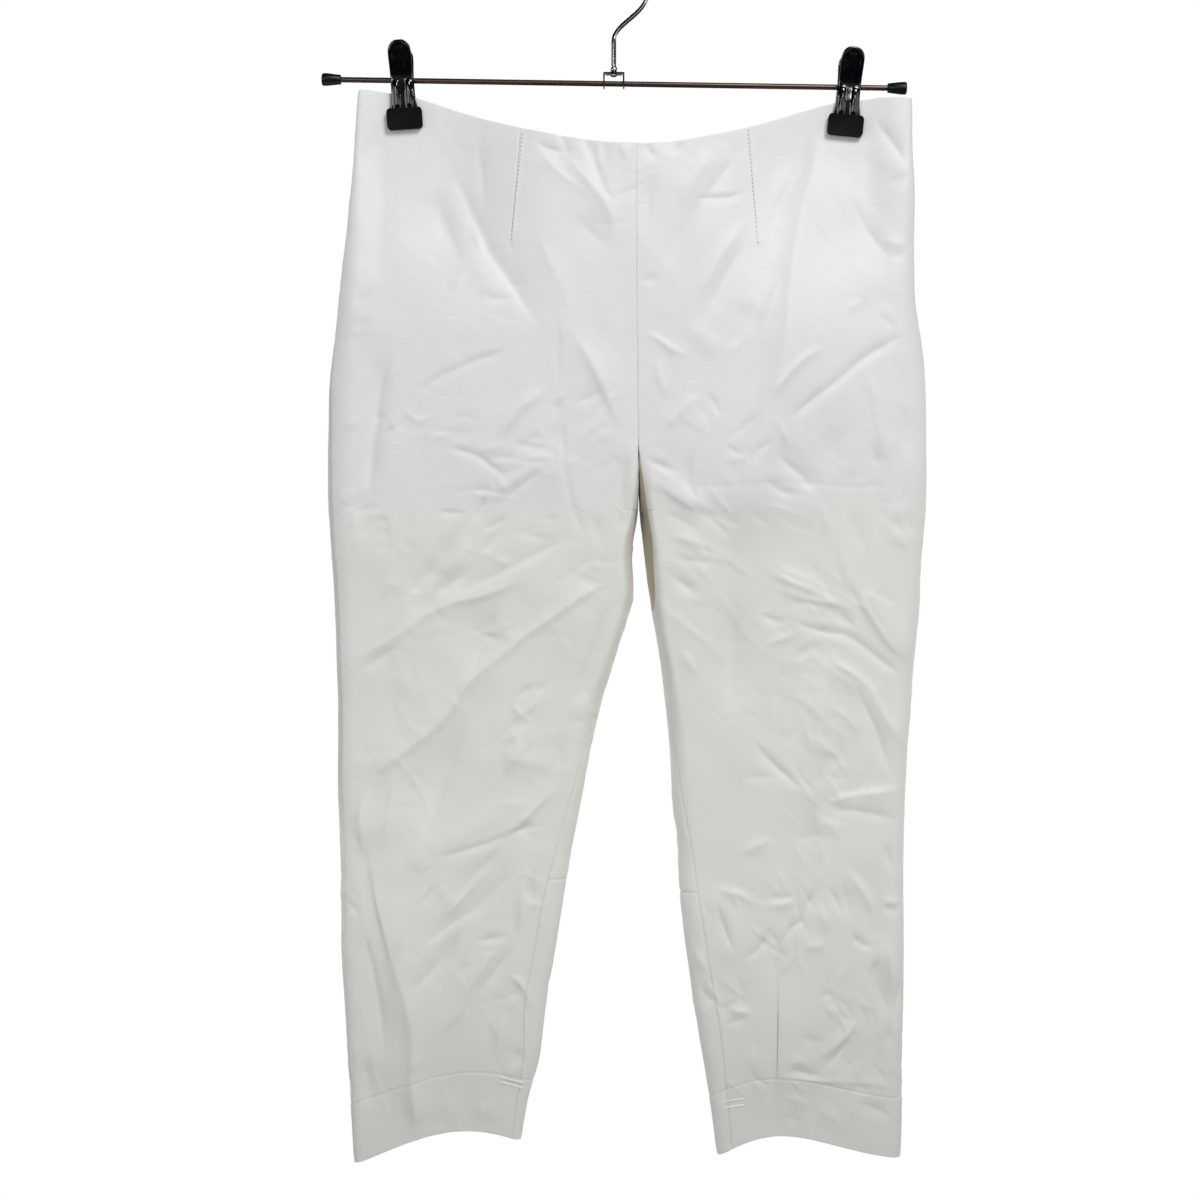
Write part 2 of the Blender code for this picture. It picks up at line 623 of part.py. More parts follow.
# ---- hanger --------------------------------------------------------------------------------------
def build_rod(collection, steel, plastic):
    """The straight rod and the cap over each end."""
    rod_mesh = mesh_from_bmesh("rod", new_cylinder(ROD_RADIUS, ROD_LENGTH, 16))
    rod = new_object("rod", rod_mesh, collection, steel)
    shade_round(rod_mesh)
    place(rod, ROD_CENTRE, ROD_TILT)
    bore = ROD_RADIUS + CLEARANCE
    profile = (
        (0.0, 0.0),
        (CAP_RADIUS_OUTER - CAP_CHAMFER, 0.0),
        (CAP_RADIUS_OUTER, -CAP_CHAMFER),
        (CAP_RADIUS_OUTER, -CAP_RIM),
        (CAP_RADIUS_INNER, -CAP_LENGTH),
        (bore, -CAP_LENGTH),
        (bore, -CAP_END),
        (0.0, -CAP_END),
    )
    reach = ROD_LENGTH / 2 + CAP_END + CLEARANCE
    for side, outward in (("left", -1), ("right", 1)):
        cap = turned(f"rod_cap_{side}", profile, 16, collection, plastic)
        cap.location = (
            (ROD_CENTRE[0] + outward * reach * math.cos(ROD_TILT)) * MM,
            0.0,
            (ROD_CENTRE[2] - outward * reach * math.sin(ROD_TILT)) * MM,
        )
        cap.rotation_euler = (0.0, ROD_TILT + outward * math.pi / 2, 0.0)


def hook_route():
    """Centre line of the hook's wire: shank, double bend and arch."""
    arch_centre = Vector((0.0, 0.0, -(ARCH_RADIUS - WIRE_RADIUS)))

    def on_arch(angle):
        return arch_centre + ARCH_RADIUS * Vector((math.cos(angle), 0.0, math.sin(angle)))

    shank = [Vector((SHANK_X, 0.0, z)) for z in (SWIVEL_BALL_Z, (SWIVEL_BALL_Z + SHANK_TOP_Z) / 2)]
    bend = interpolate_bezier(
        Vector((SHANK_X, 0.0, SHANK_TOP_Z)),
        Vector((SHANK_X, 0.0, SHANK_TOP_Z + BEND_RISE)),
        Vector(BEND_PULL),
        on_arch(ARCH_START),
        BEND_STEPS,
    )
    step = (ARCH_END - ARCH_START) / ARCH_STEPS
    return shank + bend + [on_arch(ARCH_START + step * i) for i in range(1, ARCH_STEPS + 1)]


def build_hook(collection, cutters, chrome):
    """The wire hook with the ball and rivet head of its swivel."""
    curve = bpy.data.curves.new("hook_wire", "CURVE")
    curve.dimensions = "3D"
    curve.bevel_depth = WIRE_RADIUS * MM
    curve.bevel_resolution = 2
    curve.use_fill_caps = True
    spline = curve.splines.new("POLY")
    route = hook_route()
    spline.points.add(len(route) - 1)
    for point, at in zip(spline.points, route):
        point.co = (*(at * MM), 1.0)
    wire = bpy.data.objects.new("hook_wire", curve)
    collection.objects.link(wire)
    bpy.context.view_layer.update()
    mesh = bpy.data.meshes.new_from_object(wire.evaluated_get(bpy.context.evaluated_depsgraph_get()))
    bpy.data.objects.remove(wire)
    bm = bmesh.new()
    bm.from_mesh(mesh)
    bmesh.ops.remove_doubles(bm, verts=bm.verts, dist=0.000001)
    bmesh.ops.recalc_face_normals(bm, faces=bm.faces)
    bm.to_mesh(mesh)
    bm.free()
    mesh.name = "hook"
    mesh.materials.clear()
    hook = new_object("hook", mesh, collection, chrome)

    under = BRACKET_TOP_Z - BRACKET_SHEET - CLEARANCE
    ball = [
        (SWIVEL_BALL_RADIUS * math.sin(a), SWIVEL_BALL_Z + SWIVEL_BALL_RADIUS * math.cos(a))
        for a in map(math.radians, SWIVEL_BALL_DEGREES)
    ]
    neck = SWIVEL_NECK_RADIUS
    profile = [
        *ball,
        (neck, BRACKET_TOP_Z + CLEARANCE),
        (neck, under),
        (SWIVEL_HEAD_RADIUS, under),
        (SWIVEL_HEAD_RADIUS * SWIVEL_HEAD_TAPER, under - SWIVEL_HEAD_HEIGHT),
        (0.0, under - SWIVEL_HEAD_HEIGHT),
    ]
    swivel = turned("swivel_blank", profile, 16, cutters)
    swivel.location.x = SHANK_X * MM
    swivel.hide_render = True
    swivel.display_type = "WIRE"
    boolean(hook, swivel, "UNION")
    shade_round(mesh)


def build_bracket(collection, cutters, chrome):
    """The sheet bracket that carries the rod in its legs and turns on the hook's swivel."""
    bottom = rod_z(SHANK_X) - BRACKET_BELOW_ROD
    height = BRACKET_TOP_Z - bottom
    bm = new_box((BRACKET_WIDTH, BRACKET_DEPTH, height), (SHANK_X, 0, BRACKET_TOP_Z - height / 2))
    corners = [
        edge for edge in bm.edges
        if all(vert.co.z > BRACKET_TOP_Z - 1 for vert in edge.verts)
        and edge.verts[0].co.x == edge.verts[1].co.x
    ]
    bmesh.ops.bevel(bm, geom=corners, offset=BRACKET_CORNER, segments=3, affect="EDGES", profile=0.5)
    bracket = new_object("bracket", mesh_from_bmesh("bracket", bm), collection, chrome)
    shade_round(bracket.data)

    inside = (BRACKET_WIDTH - 2 * BRACKET_SHEET, BRACKET_DEPTH + 2 * CUT_PAST, height)
    core = new_box(inside, (SHANK_X, 0, BRACKET_TOP_Z - BRACKET_SHEET - height / 2))
    roof = BRACKET_TOP_Z - BRACKET_SHEET
    corners = [
        edge for edge in core.edges
        if all(abs(vert.co.z - roof) < 0.01 for vert in edge.verts)
        and edge.verts[0].co.x == edge.verts[1].co.x
    ]
    inner_corner = BRACKET_CORNER - BRACKET_SHEET
    bmesh.ops.bevel(core, geom=corners, offset=inner_corner, segments=2, affect="EDGES", profile=0.5)
    boolean(bracket, as_cutter("bracket_inside", core, cutters))

    across = BRACKET_WIDTH + 2 * CUT_PAST
    bore = as_cutter("bracket_bore", new_cylinder(ROD_RADIUS + CLEARANCE, across, 16), cutters)
    place(bore, (SHANK_X, 0, rod_z(SHANK_X)), ROD_TILT)
    boolean(bracket, bore)
    through = 2 * (BRACKET_SHEET + CUT_PAST)
    hole = as_cutter("bracket_hole", new_cylinder(SWIVEL_NECK_RADIUS + CLEARANCE, through, 16, "Z"), cutters)
    place(hole, (SHANK_X, 0, BRACKET_TOP_Z))
    boolean(bracket, hole)


def jaw_mesh(name):
    """One jaw as an open sheet facing -Y: a grid whose rows take the jaw's widths and its bent side."""
    bm = bmesh.new()
    rows = len(JAW_ROWS)
    bmesh.ops.create_grid(bm, x_segments=JAW_STRIPS, y_segments=rows - 1, size=1.0)
    for vert in bm.verts:
        across = vert.co.x
        z, half_width, out = JAW_ROWS[round((1 - vert.co.y) / 2 * (rows - 1))]
        vert.co = Vector((across * half_width, -out, z))
    return mesh_from_bmesh(name, bm)


def pad_bmesh():
    """One rubber pad, with its corners rounded, on the front of the plane y = 0."""
    inner = WALL + SEAM_GAP / 2 + CLEARANCE
    centre = (0, -inner - PAD_THICKNESS / 2, PAD_TOP_Z - PAD_HEIGHT / 2)
    bm = new_box((PAD_WIDTH, PAD_THICKNESS, PAD_HEIGHT), centre)
    corners = [
        edge for edge in bm.edges
        if edge.verts[0].co.x == edge.verts[1].co.x and edge.verts[0].co.z == edge.verts[1].co.z
    ]
    bmesh.ops.bevel(bm, geom=corners, offset=PAD_CORNER, segments=3, affect="EDGES", profile=0.5)
    return bm


def slot_bmesh():
    """The pocket in a pad that takes the jaw's tongue."""
    tongue_half_width, tongue_out = JAW_ROWS[-1][1:]
    height = TONGUE_DEPTH + CLEARANCE + CUT_PAST
    size = (2 * (tongue_half_width + CLEARANCE), JAW_SHEET + 2 * CLEARANCE, height)
    return new_box(size, (0, -tongue_out, PAD_TOP_Z + CUT_PAST - height / 2))


def build_clip(side, collection, cutters, chrome, rubber):
    """One clip: a sleeve on the rod, two jaws that lean on it, and a pad on each jaw."""
    x, lean = CLIPS[side]
    pivot = (x, 0.0, rod_z(x))
    bore = ROD_RADIUS + CLEARANCE
    half = SLEEVE_LENGTH / 2
    profile = ((bore, half), (SLEEVE_RADIUS, half), (SLEEVE_RADIUS, -half), (bore, -half), (bore, half))
    sleeve = turned(f"clip_{side}_sleeve", profile, 20, collection, chrome)
    sleeve.location = Vector(pivot) * MM
    sleeve.rotation_euler = (0.0, ROD_TILT + math.pi / 2, 0.0)

    for face, about_z in (("front", 0.0), ("back", math.pi)):
        turn = Matrix.Rotation(lean, 4, "Y") @ Matrix.Rotation(about_z, 4, "Z")
        at = Matrix.Translation(Vector(pivot) * MM) @ turn

        jaw = new_object(f"clip_{side}_{face}_jaw", jaw_mesh(f"jaw_{side}_{face}"), collection, chrome)
        jaw.matrix_world = at
        sheet = jaw.modifiers.new("Sheet", "SOLIDIFY")
        sheet.thickness = JAW_SHEET * MM
        sheet.offset = 0.0

        pad_mesh = mesh_from_bmesh(f"pad_{side}_{face}", pad_bmesh())
        pad = new_object(f"clip_{side}_{face}_pad", pad_mesh, collection, rubber)
        pad.matrix_world = at
        shade_round(pad_mesh)
        slot = as_cutter(f"slot_{side}_{face}", slot_bmesh(), cutters)
        slot.matrix_world = at
        boolean(pad, slot)


def main():
    """Build the whole object."""
    clear_scene()
    parts = new_collection("capri_pants")
    cutters = new_collection("cutters", hidden=True)
    cloth = new_material("white_cotton", (0.80, 0.80, 0.77), 0.7)
    steel = new_material("dark_steel", (0.05, 0.04, 0.035), 0.35, 1.0)
    chrome = new_material("bright_chrome", (0.6, 0.6, 0.6), 0.15, 1.0)
    black = new_material("black_chrome", (0.02, 0.02, 0.025), 0.2, 1.0)
    rubber = new_material("black_rubber", (0.01, 0.01, 0.01), 0.8)
    plastic = new_material("black_plastic", (0.015, 0.015, 0.015), 0.4)

    build_trousers(parts, cloth)
    build_rod(parts, steel, plastic)
    build_hook(parts, cutters, chrome)
    build_bracket(parts, cutters, chrome)
    for side in CLIPS:
        build_clip(side, parts, cutters, black, rubber)


main()
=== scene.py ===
"""The finished look of white capri pants that hang from a two-clip trouser hanger.

Frame: +Z up, the garment's front faces -Y, and the origin is the underside of the hook's arch, where the
hanger hangs. Sizes are in millimetres and become metres where a mesh is made. Left and right are as seen
from the front, so left is -X.
"""

import logging
import math
from dataclasses import dataclass, field
from enum import Enum
from functools import lru_cache
from typing import Callable

import bmesh
import bpy
import numpy as np
from bpy.types import Material, Node, NodeSocket, NodeTree, Object, Scene
from mathutils import Matrix, Vector, noise
from mathutils.geometry import interpolate_bezier


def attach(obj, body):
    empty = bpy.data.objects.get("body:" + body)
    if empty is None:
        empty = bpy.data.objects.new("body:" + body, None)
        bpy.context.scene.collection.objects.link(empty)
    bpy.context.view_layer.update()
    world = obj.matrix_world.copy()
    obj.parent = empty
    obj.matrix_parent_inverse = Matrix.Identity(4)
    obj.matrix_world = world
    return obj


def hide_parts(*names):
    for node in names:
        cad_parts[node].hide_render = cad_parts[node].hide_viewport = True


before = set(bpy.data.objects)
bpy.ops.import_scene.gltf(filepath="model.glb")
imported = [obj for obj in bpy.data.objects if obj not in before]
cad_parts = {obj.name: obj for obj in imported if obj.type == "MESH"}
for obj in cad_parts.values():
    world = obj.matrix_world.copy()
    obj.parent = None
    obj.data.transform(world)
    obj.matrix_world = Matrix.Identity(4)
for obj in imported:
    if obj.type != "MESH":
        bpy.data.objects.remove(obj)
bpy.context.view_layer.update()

MM = 0.001
LOG = logging.getLogger("capri_pants")
Array = np.ndarray
Point = tuple[float, float]
Colour = tuple[float, float, float]
Value = float | tuple[float, ...] | NodeSocket
Sockets = bpy.types.bpy_prop_collection
TONE_RANGE = (0.3, 0.7)  # what the mottle pattern mostly stays in


class Side(Enum):
    """A half of the garment, as seen from the front."""

    LEFT = "left"
    RIGHT = "right"

    @property
    def outward(self) -> int:
        """The sign of X on the way to the side seam."""
        return -1 if self is Side.LEFT else 1


class Face(Enum):
    """The front or the back of the garment."""

    FRONT = "front"
    BACK = "back"


class Part(Enum):
    """The stretch of a leg that a panel covers."""

    WHOLE = "whole"
    UPPER = "upper"
    LOWER = "lower"


class Slot(Enum):
    """The material slots."""

    CLOTH = "cloth"
    ROD = "rod_steel"
    CAPS = "rod_caps"
    HOOK = "hook_chrome"
    CLIP = "clip_metal"
    PADS = "clip_pads"


# ---- the garment's form --------------------------------------------------------------------------
WALL = 1.2  # thickness of the cloth's shell
EDGE_WALL = 0.7  # and at its free edges
PRESSED = WALL + 0.15  # depth of each face where the clips press it
SEAM_GAP = 0.1
WAIST_Z, HEM_Z, HEM_DEPTH = -110.0, -934.0, 45.0
FORK_Z = {Face.FRONT: -378.0, Face.BACK: -398.0}  # where a crotch curve leaves the centre seam
CROTCH_Z = -434.0
KNEE_Z = {Side.LEFT: -715.0, Side.RIGHT: -725.0}

SECTION_COLUMNS = (
    "z", "left_out", "left_in", "right_in", "right_out",
    "front_side", "front_mid", "front_in", "back_side", "back_mid", "back_in",
    "out_round", "left_round", "right_round", "in_power", "in_y",
)
SECTION_ROWS = (
    (-110, -196.5, 17.0, 17.0, 230.0, 5.5, 19, 27, 5.5, 22, 32, 9, 5, 5, 1.0, 10),
    (-150, -199.0, 17.0, 17.0, 231.0, 8, 22, 30, 8, 27, 37, 16, 5, 5, 1.0, 10),
    (-194, -202.5, 17.0, 17.0, 232.0, 11, 26, 33, 12, 32, 42, 32, 5, 5, 1.0, 10),
    (-232, -207.0, 17.2, 17.2, 232.0, 13, 29, 35, 15, 36, 45, 42, 5, 5, 1.0, 10),
    (-270, -211.0, 17.6, 17.6, 232.5, 15, 31, 36, 17, 38, 46, 50, 5, 5, 1.0, 10),
    (-309, -214.8, 18.0, 18.0, 238.0, 16, 32, 36, 19, 40, 46, 58, 5, 5, 1.0, 10),
    (-348, -218.7, 18.4, 18.4, 240.5, 16, 32, 36, 20, 41, 46, 60, 5, 6, 1.0, 10),
    (-405, -219.3, 19.4, 19.4, 241.2, 16, 31, 35, 20, 40, 44, 60, 5, 8, 0.9, 10),
    (-434, -218.7, 19.9, 19.9, 240.0, 16, 30, 33, 20, 38, 40, 58, 6, 10, 0.75, 10),
    (-463, -217.1, 15.0, 23.5, 238.0, 16, 29, 31, 19, 36, 36, 54, 9, 12, 0.6, 9),
    (-502, -214.8, 15.0, 29.0, 235.6, 15, 27, 28, 18, 33, 31, 50, 16, 17, 0.5, 7),
    (-540, -212.5, 3.4, 35.0, 232.5, 15, 25, 25, 17, 30, 27, 46, 26, 26, 0.5, 4),
    (-579, -211.0, -8.0, 40.0, 229.5, 14, 23, 22, 16, 27, 24, 44, 36, 36, 0.5, 2),
    (-617, -211.0, -17.0, 44.0, 226.5, 14, 22, 19, 15, 25, 21, 42, 42, 42, 0.5, 0),
    (-656, -211.0, -24.5, 46.5, 225.0, 13, 20, 17, 15, 23, 19, 40, 44, 44, 0.5, 0),
    (-694, -210.3, -31.5, 49.5, 223.5, 13, 19, 15, 14, 22, 17, 38, 42, 42, 0.5, 0),
    (-732, -209.5, -38.5, 52.5, 224.0, 12, 18, 14, 14, 21, 16, 36, 40, 40, 0.5, 0),
    (-771, -209.2, -44.0, 56.5, 224.2, 12, 17, 13, 13, 20, 15, 34, 38, 38, 0.5, 0),
    (-809, -207.0, -51.0, 61.5, 223.5, 11, 15, 12, 13, 19, 14, 32, 34, 34, 0.5, 0),
    (-848, -204.5, -56.5, 68.5, 222.4, 11, 13, 12, 12, 18, 13, 30, 30, 30, 0.5, 0),
    (-889, -201.5, -66.0, 75.0, 222.0, 10, 10, 11, 12, 17, 13, 28, 28, 28, 0.5, 0),
    (-934, -198.8, -74.0, 81.0, 220.4, 9, 8, 10, 11, 16, 12, 26, 26, 26, 0.5, 0),
)
WRAP_COLUMNS = ("z", "left_side", "right_side", "left_inner", "right_inner")
WRAP_ROWS = (
    (-110, 0.0, 0.0, 0.0, 0.0),
    (-270, 0.0, 0.0, 0.0, 0.0),
    (-350, 9.0, 0.0, 0.0, 0.0),
    (-434, 11.0, 0.0, 0.0, 0.0),
    (-540, 11.0, 2.0, 7.0, 7.0),
    (-656, 11.0, 3.0, 19.0, 17.0),
    (-732, 10.0, 3.0, 24.0, 22.0),
    (-809, 7.0, 3.0, 24.0, 24.0),
    (-934, 5.0, 3.0, 12.0, 18.0),
)

FOLD_ROUND = 0.32  # of the solids' round at the side and inner folds, for pressed cloth
FOLD_SHARE = 0.5  # of the large folds' height that is kept beside the finer creases
FOLD_OVERRUN, FOLD_FADE = 0.15, 0.4  # past a fold's ends, in shares of its length
# The solids' large folds, which the finer creases lie on: x0, z0, x1, z1, half width, height.
FOLDS = {
    Face.FRONT: (
        (-183, -300, -188, -430, 11, -3.0), (-42, -280, -5, -348, 12, 2.5), (-40, -396, -86, -421, 9, 3.0),
        (-64, -471, -200, -556, 12, 3.0), (-84, -540, -190, -646, 14, 3.5),
        (-97, -562, -138, -640, 14, -3.0), (-43, -645, -180, -713, 10, 3.0),
        (-190, -690, -165, -802, 9, -6.0),
        (-82, -702, -146, -768, 10, -4.5), (-116, -754, -158, -808, 10, -4.0),
        (57, -296, 81, -314, 8, 2.5), (101, -280, 92, -312, 10, -3.0),
        (35, -410, 68, -433, 8, 4.0), (121, -386, 155, -416, 9, -3.5), (184, -489, 231, -549, 9, 4.5),
        (165, -546, 224, -617, 10, 4.0), (154, -618, 155, -702, 13, -4.0), (178, -662, 224, -648, 9, 3.0),
        (77, -723, 95, -778, 10, 3.5), (127, -768, 124, -905, 6, -5.0), (190, -705, 205, -768, 9, -4.0),
        (203, -780, 212, -822, 7, -4.0),
    ),
    Face.BACK: (
        (-120, -200, -60, -300, 16, 3.0), (150, -190, 90, -290, 16, 3.0), (-30, -390, -120, -440, 14, 3.0),
        (70, -390, 160, -445, 14, 3.0), (-80, -470, -180, -560, 15, -4.0), (80, -520, 190, -600, 15, -4.0),
        (-90, -640, -170, -700, 13, 3.5), (110, -660, 190, -720, 13, 3.5),
        (-130, -760, -110, -900, 12, -4.0), (150, -760, 140, -900, 12, -4.0),
    ),
}

WAIST_SAG = 40.5
WAIST_SAG_POWER = {Side.LEFT: 1.13, Side.RIGHT: 1.35}
WAIST_CORNER_LIFT, WAIST_CORNER_REACH = 3.0, 30.0
WAIST_EASE, WAIST_BELOW_CLIP = 130.0, 3.0
PINCH_REACH_INWARD, PINCH_FADE_INWARD = 26.0, 90.0
PINCH_REACH_OUTWARD, PINCH_FADE_OUTWARD = 15.0, 33.0
PINCH_REACH_DOWN, PINCH_FADE_DOWN = 13.0, 150.0
HEM_LIFT = {  # outer end, inner end, bow and skew
    Side.LEFT: (0.0, 18.0, 14.0, 1.0),
    Side.RIGHT: (5.0, 6.0, 16.0, 1.6),
}
HEM_EASE = 90.0

ROD_RADIUS, ROD_LENGTH = 2.1, 446.0
ROD_CENTRE = (1.0, 0.0, -104.3)
ROD_TILT = math.radians(0.88)
CLIPS = {Side.LEFT: (-162.2, math.radians(-4.0)), Side.RIGHT: (181.6, math.radians(5.7))}
PAD_WIDTH, PAD_HEIGHT, PAD_TOP_Z = 27.2, 16.2, -22.0


@dataclass(frozen=True)
class ColumnTable:
    """A table whose columns are read as smooth functions of its first column."""

    names: tuple[str, ...]
    rows: tuple[tuple[float, ...], ...]

    def read(self, name: str, level: Array) -> Array:
        """Read a column between its rows.

        Args:
            name: The column's name.
            level: Values of the first column.

        Returns:
            The column's values there.
        """
        table = np.array(self.rows, dtype=float)[::-1]
        levels, values = table[:, 0], table[:, self.names.index(name)]
        slopes = np.gradient(values, levels)
        level = np.clip(level, levels[0], levels[-1])
        at = np.clip(np.searchsorted(levels, level, side="right") - 1, 0, len(levels) - 2)
        span = levels[at + 1] - levels[at]
        s = (level - levels[at]) / span
        rise = s * s * (3 - 2 * s)
        bend = span * s * (1 - s) * ((1 - s) * slopes[at] - s * slopes[at + 1])
        return values[at] * (1 - rise) + values[at + 1] * rise + bend


SECTION = ColumnTable(SECTION_COLUMNS, SECTION_ROWS)
WRAP = ColumnTable(WRAP_COLUMNS, WRAP_ROWS)


def ease(s: Array) -> Array:
    """Smooth step from 0 to 1."""
    s = np.clip(s, 0.0, 1.0)
    return s * s * (3 - 2 * s)


def bell(s: Array) -> Array:
    """Smooth hump of height 1 and half width about 1."""
    return np.exp(-s * s)


def lowered(level: Array, start: float, drop: float) -> Array:
    """0 down to a level and 1 from a drop below it on."""
    return ease((start - level) / drop)


def slanted(x: Array, z: Array, cosine: float, sine: float, squeeze: float) -> Array:
    """Places turned to a slant, and squeezed along their second axis."""
    return np.stack([x * cosine + z * sine, (z * cosine - x * sine) * squeeze], axis=2)


def rod_z(x: Array) -> Array:
    """Height of the rod's axis at x."""
    return ROD_CENTRE[2] - (x - ROD_CENTRE[0]) * math.tan(ROD_TILT)


def pad_centre(side: Side) -> Point:
    """X and Z of the middle of a clip's pads.

    Args:
        side: Which clip.

    Returns:
        X and Z, in millimetres.
    """
    x, lean = CLIPS[side]
    down = PAD_TOP_Z - PAD_HEIGHT / 2
    return x + down * math.sin(lean), float(rod_z(x) + down * math.cos(lean))


def waviness(points: Array, size: float, seed: float) -> Array:
    """Smooth noise from -1 to 1.

    Args:
        points: Places, one a row, in millimetres.
        size: Size of the noise's waves.
        seed: Moves the pattern.

    Returns:
        One value a place.
    """
    flat = points.reshape(-1, points.shape[-1]) / size
    wide = np.zeros((len(flat), 3))
    wide[:, : flat.shape[1]] = flat
    wide[:, 2] += seed
    return np.array([noise.noise(row) for row in wide.tolist()]).reshape(points.shape[:-1])


@dataclass(frozen=True)
class Crease:
    """A soft fold in the cloth along a drawn line.

    The upper side is the one that faces up and left; a ridge is higher than 0 and a trough lower.
    """

    line: tuple[Point, ...]
    upper: float  # half width on the upper side
    lower: float
    height: float
    SPACING = 5.0  # of the points along the smoothed line
    REACH = 2.8  # half widths past which the crease is flat
    CREST = 0.16  # radius of its crest, in half widths
    FALL = 1.1  # of its sides, past the crest
    POINTED = 0.5  # share of its width that is left at its ends
    FADE_MOST, FADE_LEAST, FADE_WIDTHS, FADE_WIDEST = 0.45, 8, 4, 14  # of its height toward its ends
    THIN = 9  # half width under which a crease is a thin one
    SLIM = 0.82  # share of its drawn width that a thin crease has
    GAIN = 1.5
    CALF_GAIN, CALF_BROAD = 0.5, 3  # more height toward the hems, and its divisor for broad creases
    CALF_START, CALF_DROP = -480, 300  # where that sets in, and the drop that it grows over
    STEEPEST, STEEPEST_WIDER = 0.56, 0.08  # most height, in its narrower and its wider half width
    STOUTEST_BASE, STOUTEST = 0.25, 0.048  # and over its length
    RISE_WEIGHT = 0.5  # of a line's rise beside its run, in telling its upper side

    @property
    def widest(self) -> float:
        """The larger half width."""
        return max(self.upper, self.lower)

    def route(self) -> Array:
        """The line as a smooth curve of evenly spaced points.

        Returns:
            X and Z of the points.
        """
        given = np.array(self.line, dtype=float)
        if len(given) == 2:
            given = np.array([given[0], given.mean(axis=0), given[1]])
        tangents = np.gradient(given, axis=0)
        pieces = []
        for start, end, leave, arrive in zip(given, given[1:], tangents, tangents[1:]):
            count = max(2, int(np.linalg.norm(end - start) / self.SPACING) + 1)
            s = np.linspace(0, 1, count, endpoint=False)[:, None]
            rise = s * s * (3 - 2 * s)
            bend = s * (1 - s) * ((1 - s) * leave - s * arrive)
            pieces.append(start * (1 - rise) + end * rise + bend)
        return np.vstack([*pieces, given[-1:]])

    def measure(self, places: Array, route: Array) -> tuple[Array, Array, float]:
        """Find where places lie beside the crease.

        Args:
            places: X and Z, one place a row.
            route: The smoothed line.

        Returns:
            Distances across, positive on the upper side, distances along, and the line's length.
        """
        runs = np.diff(route, axis=0)
        lengths = np.maximum(np.linalg.norm(runs, axis=1), 1e-6)
        starts = np.concatenate([[0.0], np.cumsum(lengths)])
        chord = route[-1] - route[0]
        way = 1.0 if chord[0] + self.RISE_WEIGHT * chord[1] > 0 else -1.0
        best = np.full(len(places), np.inf)
        across, along = np.zeros(len(places)), np.zeros(len(places))
        for start, run, length, before in zip(route, runs, lengths, starts):
            off = places - start
            share = np.clip(off @ run / length**2, 0, 1)
            gap = off - share[:, None] * run
            distance = np.linalg.norm(gap, axis=1)
            normal = way * np.array([-run[1], run[0]]) / length
            closer = distance < best
            best[closer] = distance[closer]
            across[closer] = np.where((gap @ normal)[closer] > 0, distance[closer], -distance[closer])
            along[closer] = before + share[closer] * length
        return across, along, starts[-1]

    def crest_height(self, length: float, middle_z: float) -> float:
        """Height of the crest: the drawn one with its gain, held to what the cloth can do.

        Args:
            length: The crease's length.
            middle_z: Z of its middle.

        Returns:
            The height, negative for a furrow.
        """
        thin = self.widest < self.THIN
        most = self.STEEPEST * min(self.upper, self.lower) + self.STEEPEST_WIDER * self.widest
        most = min(most, self.STOUTEST_BASE + self.STOUTEST * length)
        low = float(lowered(np.array(middle_z), self.CALF_START, self.CALF_DROP))
        most *= 1 + (self.CALF_GAIN if thin else self.CALF_GAIN / self.CALF_BROAD) * low
        return math.copysign(min(abs((self.GAIN + self.CALF_GAIN * low) * self.height), most), self.height)

    def relief(self, x: Array, z: Array) -> Array:
        """Height of the crease at places on the cloth.

        Args:
            x: Places across.
            z: Places up.

        Returns:
            Heights in millimetres.
        """
        total = np.zeros(x.shape)
        route = self.route()
        reach = self.REACH * self.widest
        low, high = route.min(axis=0) - reach, route.max(axis=0) + reach
        near = (x > low[0]) & (x < high[0]) & (z > low[1]) & (z < high[1])
        if not near.any():
            return total
        across, along, length = self.measure(np.column_stack([x[near], z[near]]), route)
        fade = self.FADE_LEAST + self.FADE_WIDTHS * min(self.widest, self.FADE_WIDEST)
        fade = min(self.FADE_MOST * length, fade)
        ends = ease(along / fade) * ease((length - along) / fade)
        slim = self.SLIM if self.widest < self.THIN else 1.0
        width = np.where(across > 0, self.upper, self.lower) * slim
        width = width * (self.POINTED + (1 - self.POINTED) * ends)
        s = np.abs(across / width)
        profile = np.exp(-self.FALL * (np.hypot(s, self.CREST) - self.CREST))
        profile = profile * ease((self.REACH - s) / (self.REACH / 2))
        total[near] = self.crest_height(length, route[:, 1].mean()) * ends * profile
        return total


